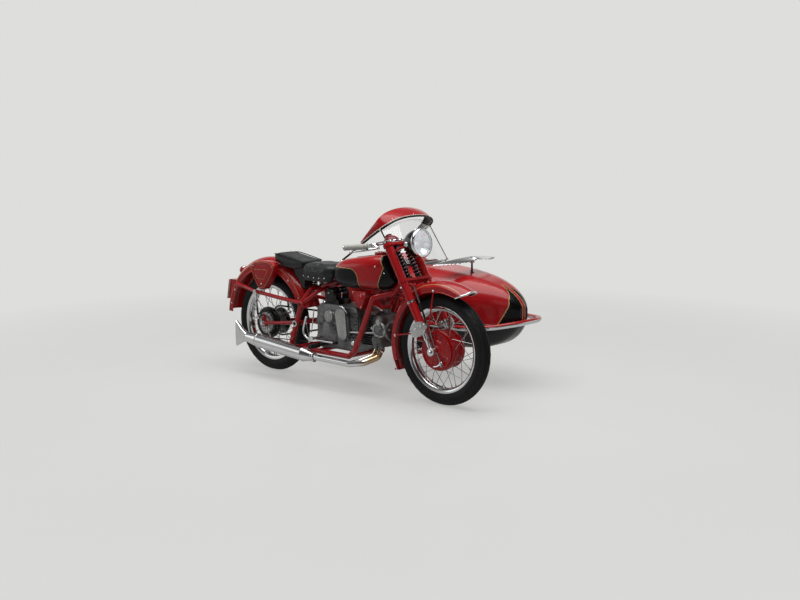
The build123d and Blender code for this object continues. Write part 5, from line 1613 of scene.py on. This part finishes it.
def make_screen_frame():
    """Black hoop and pillars, chrome strip under the screen, and the fittings."""
    piece = Piece("screen_frame", "chassis", BLACK, CHROME)
    piece.tube(smooth_path(mirrored([(250, 262, 731)] + HOOP_FRONT), 8), 7, 14)
    foot = [(0, 0), (13, 0), (13, 3), (8, 8), (0, 9)]
    half = 245
    for side in (-1, 1):
        y = CAR_Y + side * half
        piece.use(BLACK).tube([(780, y, 738), (622, y, 959)], 5, 12)
        piece.use(CHROME).lathe(foot, (780, y, 733), UP, 24)
        piece.lathe([(0, -8), (8, -8), (8, 8), (0, 8)], (622, y, 959), LEFT, 16)
        piece.lathe(foot, (262, CAR_Y + side * 250, 727), UP, 24)
    strip = []
    for k in range(33):
        y = -half + 2 * half * k / 32
        t = 1 - (y / half) ** 2
        strip.append(Vector((780 + 88 * t, CAR_Y + y, 738 - 6 * t)))
    piece.use(BLACK).tube(strip, 8, 12, squash=0.8)
    band = []
    for before, place, after in list(zip(strip, strip[1:], strip[2:]))[6:25]:
        ahead = (after - before).normalized().cross(Vector(UP)).normalized()
        rise = Vector(UP) * 0.8 - ahead * 0.6
        band.append([place + ahead * out + rise * up
                     for out, up in ((7.5, -11), (9.5, 2), (8.5, 17), (6, 18), (5, -9))])
    piece.use(CHROME).grid(band, caps=True)
    piece.done(36, "black_tube", "windscreen_frame")


def make_visor():
    """Crescent sun visor: red above, dark below, with a pale bead along the front edge."""
    piece = Piece("visor_shell", "chassis", RED, BLACK, CREAM, CHROME)
    front, rear = smooth_path(mirrored(HOOP_FRONT), 8), smooth_path(mirrored(HOOP_REAR), 8)
    columns = 9
    top, low, bead = [], [], []
    for i, (a, b) in enumerate(zip(front, rear)):
        along = (front[min(i + 1, len(front) - 1)] - front[max(i - 1, 0)]).normalized()
        back = (b - a) - along * (b - a).dot(along)
        out = back.cross(along).normalized()
        if out.z < 0 or (abs(out.z) < 0.2 and out.y * (a.y - CAR_Y) < 0):
            out = -out
        edge = a + back.normalized() * 7.4
        span = b - edge
        crown = min(7.0, span.length * 0.06)
        middle = []
        for t in (k / (columns - 1) for k in range(columns)):
            middle.append(edge + span * t + out * crown * 4 * t * (1 - t))
        top.append([p + out * 2.0 for p in middle])
        low.append([p - out * 2.0 for p in middle])
        bead.append(edge + out * 1.0 + span.normalized() * 1.0)
    faces = piece.grid([high + under[::-1] for high, under in zip(top, low)], caps=True)
    below = range(columns, 2 * columns - 1)
    piece.use(BLACK).paint(face for i, face in enumerate(faces[:-2]) if i % (2 * columns) in below)
    piece.use(CREAM).tube(bead, 4.6)
    rolled = [(high[-1] + under[-1]) / 2 - (high[-1] - high[-2]).normalized() * 1.5
              for high, under in zip(top, low)]
    piece.use(RED).tube(rolled, 1.8, 8)
    piece.use(CHROME)
    for i in (12, 30, 48, 66, 84):
        piece.bolt(top[i][1], top[i][1] - low[i][1], 3.6, 2.6, 12)
    piece.done(38, "red_paint", "sun_visor")


def make_ornament():
    """Winged ornament: a smooth body on a dark stem with layered feathers."""
    piece = Piece("winged_ornament", "chassis", CHROME, BLACK)
    cx = 1194
    stem = [(0, 696), (16, 696), (16, 700), (9, 706), (6.5, 716), (6, 764), (9, 776), (0, 778)]
    piece.use(BLACK).lathe(stem, (cx, CAR_Y, 0), UP, 24)
    body = [(0.5, -30), (5, -26), (10, -16), (13, -2), (13, 12), (10.5, 24), (7, 32), (3.5, 38), (0, 40)]
    piece.use(CHROME).lathe(body, (cx, CAR_Y, 784.5), (1, 0, 0.09), 28)
    droop = tan(radians(7))
    for side in (-1, 1):
        for k in range(9):
            t = k / 8
            reach = 110 + 206 * t ** 0.7
            root = Vector((cx + 28 - 46 * t, CAR_Y + side * 8, 786 + 1.4 * k))
            tip = Vector((cx + 34 - 92 * t, CAR_Y + side * reach, 788 + 2.2 * k - reach * droop))
            bend = Vector((cx + 50 - 60 * t, CAR_Y + side * reach * 0.55,
                           796 + 2.2 * k - reach * 0.5 * droop))
            rows = []
            for u in (j / 14 for j in range(15)):
                centre = root * (1 - u) ** 2 + bend * 2 * u * (1 - u) + tip * u * u
                if u < 0.86:
                    width = 9.0 + 5.0 * sin(pi * u)
                else:
                    width = 9.0 * (1 - ((u - 0.86) / 0.15) ** 2) + 1.6
                ridge = 2.4 * (1 - 0.6 * u)
                rows.append([centre + Vector((x, 0, z))
                             for x, z in ((width, -2.6), (width * 0.2, ridge), (-width, 1.6), (0, -2.2))])
            piece.grid(rows, caps=True)
    piece.lathe([(0, 0), (17, 0), (19, 3), (19, 7), (15, 10), (0, 10)], (cx, CAR_Y, 762), UP, 28)
    piece.done(42, "chrome", "nose_ornament")


def make_tank_trim():
    """Filler cap, its ring, the studs and the tank's lower seam."""
    piece = Piece("tank_trim", "chassis", DARK_RED, CHROME, BLACK)
    filler = (1002, 0, 0)
    piece.use(CHROME).lathe([(40.3, 838), (45, 840), (45.5, 843), (40.3, 846)], filler, UP)
    piece.use(DARK_RED)
    piece.lathe([(0, 866.2), (30, 866.2), (38, 864), (40.8, 860), (40.8, 850), (40.2, 848)], filler, UP)
    piece.use(CHROME).block((1002, 0, 868), (52, 9, 6), 2.6)
    piece.lathe([(0, 866), (7, 866), (6, 871.6), (0, 872.4)], filler, UP, 20)
    for side in (-1, 1):
        piece.use(CHROME)
        for x, z in ((1060, 792), (1116, 754)):
            stud(piece, "fuel_tank", side, x, z, 5.0, 3.6, 16)
        seam = []
        for k in range(40):
            place, _ = cast((705 + 480 * k / 39, side * 400, 655), (0, -side, 0), "fuel_tank")
            if place is not None:
                seam.append(place)
        piece.use(BLACK).tube(seam, 2.4, 8)
    piece.done(36, "chrome")


def make_frame_trim():
    """Cast lugs, clamps and bolts where the tubes meet."""
    piece = Piece("frame_lugs", "chassis", RED, CHROME, DARK_STEEL)
    for side in (-1, 1):
        y, out = side * 122, (0, side, 0)
        piece.use(RED)
        piece.lathe([(17.4, -16), (21, -13), (21, 13), (17.4, 16)], (412, y, 500), (0.06, 0, 1), 24)
        piece.lathe([(17.4, -14), (20.6, -11), (20.6, 11), (17.4, 14)], (326, y, 300), (0.06, 0, 1), 24)
        piece.use(DARK_STEEL)
        piece.bolt((412, y + side * 21, 504), out, 7, 6)
        piece.bolt((358, side * 140, 372), out, 9, 7)
        piece.use(CHROME).lathe([(0, 0), (20, 0), (20, 2.4), (0, 2.4)], (358, side * 138.6, 372), out, 28)
    piece.use(DARK_STEEL).bolts([(1204, -22, 728), (1190, -22, 716)], RIGHT, 5, 4)
    badge = [(38, -1), (38, 2), (35, 5), (31, 5.5), (29, 4), (26, 5), (23, 9), (14, 11), (0, 11.5)]
    for side in (-1, 1):
        piece.use(RED).lathe(badge, (940, side * 126, 586), (0, side, 0))
        piece.use(CHROME)
        for x, z in ((880, 622), (974, 618), (948, 536)):
            stud(piece, "side_boxes", side, x, z, 4.2, 2.6, 14)
    piece.done(34, "red_paint")


make_coaming()
make_bumper()
make_screen_frame()
make_visor()
make_ornament()
make_tank_trim()
make_frame_trim()


# ---------------------------------------------------------------- camera, floor, light
def make_camera():
    data = bpy.data.cameras.new("camera")
    data.lens = LENS_MM
    data.sensor_width = 36.0
    data.clip_end = 100.0
    camera = add_object("camera", data)
    right = CAMERA_FORWARD.cross(CAMERA_UP).normalized()
    up = right.cross(CAMERA_FORWARD)
    turn = Matrix((right, up, -CAMERA_FORWARD)).transposed().to_4x4()
    camera.matrix_world = Matrix.Translation(P(*CAMERA_AT_MM)) @ turn
    bpy.context.scene.camera = camera


def make_floor():
    """A pale floor that fades into the backdrop away from the object, and keeps its shadow near it."""
    m = Shader("floor", (0.8, 0.8, 0.79), 0.5, Specular_IOR_Level=0.25)
    m.color(m.mix(m.cloud(0.7, 3.0, 0.3, 0.7, 0.0, 1.0), (0.79, 0.79, 0.78), (0.82, 0.82, 0.81)))
    m.rough(m.cloud(3.0, 5.0, 0.3, 0.7, 0.35, 0.6))
    xyz = m.node("ShaderNodeSeparateXYZ", {"Vector": m.coords()})
    far = m.reach(xyz.outputs["X"], xyz.outputs["Y"])
    path = m.node("ShaderNodeLightPath").outputs
    eye = m.most(path["Is Camera Ray"], path["Is Transmission Ray"])
    power = m.most(m.most(eye, m.times(path["Is Glossy Ray"], 0.5)), 0.15)
    glow = m.node("ShaderNodeEmission", {"Color": BACKDROP, "Strength": power}).outputs[0]
    seen = m.blend(m.span(far, 1.5, 4.6, 0.52, 1.0), m.bsdf.outputs[0], glow)
    m.put(m.tree.nodes["Material Output"].inputs["Surface"], seen)
    mesh = bpy.data.meshes.new("floor")
    size = 40.0
    mesh.from_pydata([(-size, -size, 0), (size, -size, 0), (size, size, 0), (-size, size, 0)], [],
                     [(0, 1, 2, 3)])
    mesh.materials.append(m.mat)
    add_object("floor", mesh)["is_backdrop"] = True


def make_world():
    """Soft light all round; the eye sees the pale backdrop, and reflections see it with darker bands."""
    world = bpy.data.worlds.new("studio")
    bpy.context.scene.world = world
    world.use_nodes = True
    world.node_tree.nodes.clear()
    w = Nodes(world.node_tree)

    def light(color, strength):
        return w.node("ShaderNodeBackground", {"Color": color, "Strength": strength}).outputs[0]

    path = w.node("ShaderNodeLightPath").outputs
    eye = w.most(path["Is Camera Ray"], path["Is Transmission Ray"])
    way = w.node("ShaderNodeTexCoord").outputs["Generated"]
    height = w.node("ShaderNodeSeparateXYZ", {0: way}).outputs["Z"]
    bands = w.ramp(height, [(0.0, BACKDROP), (0.34, BACKDROP), (0.46, (0.30, 0.30, 0.30)),
                            (0.62, (0.14, 0.14, 0.14)), (0.78, (0.25, 0.25, 0.25)),
                            (0.9, (0.95, 0.95, 0.95))])
    toward = w.node("ShaderNodeVectorMath", {0: way, 1: (0.676, -0.737, 0.0)}, operation="DOT_PRODUCT")
    shade = w.span(toward.outputs["Value"], -0.3, 0.5, 1.0, 0.08)
    mirrored_room = light(bands, w.most(shade, w.span(height, 0.55, 0.85, 0.0, 1.0)))
    seen = w.blend(path["Is Glossy Ray"], light((0.97, 0.98, 1.0), 0.22), mirrored_room)
    w.node("ShaderNodeOutputWorld", {"Surface": w.blend(eye, seen, light(BACKDROP, 1.0))})


def make_lamp(name, place, size, power):
    """A rectangular area lamp that faces the middle of the object."""
    data = bpy.data.lights.new(name, "AREA")
    data.shape = "RECTANGLE"
    data.size, data.size_y = size
    data.energy = power
    lamp = add_object(name, data)
    lamp.location = place
    lamp.rotation_euler = (MIDDLE - Vector(place)).to_track_quat("-Z", "Y").to_euler()


make_camera()
make_floor()
make_world()
make_lamp("top_box", (0.5, -0.5, 4.5), (5.0, 4.0), 175.0)
make_lamp("front_box", (4.5, -4.0, 3.0), (3.0, 2.5), 10.0)
make_lamp("left_box", (-4.5, -3.0, 2.5), (3.0, 2.0), 12.0)
bpy.context.scene.view_settings.view_transform = "Standard"


def corners(box):
    return [[float(value) for value in corner] for corner in box]


{"before": corners(CAD_BOX), "after": corners(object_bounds())}
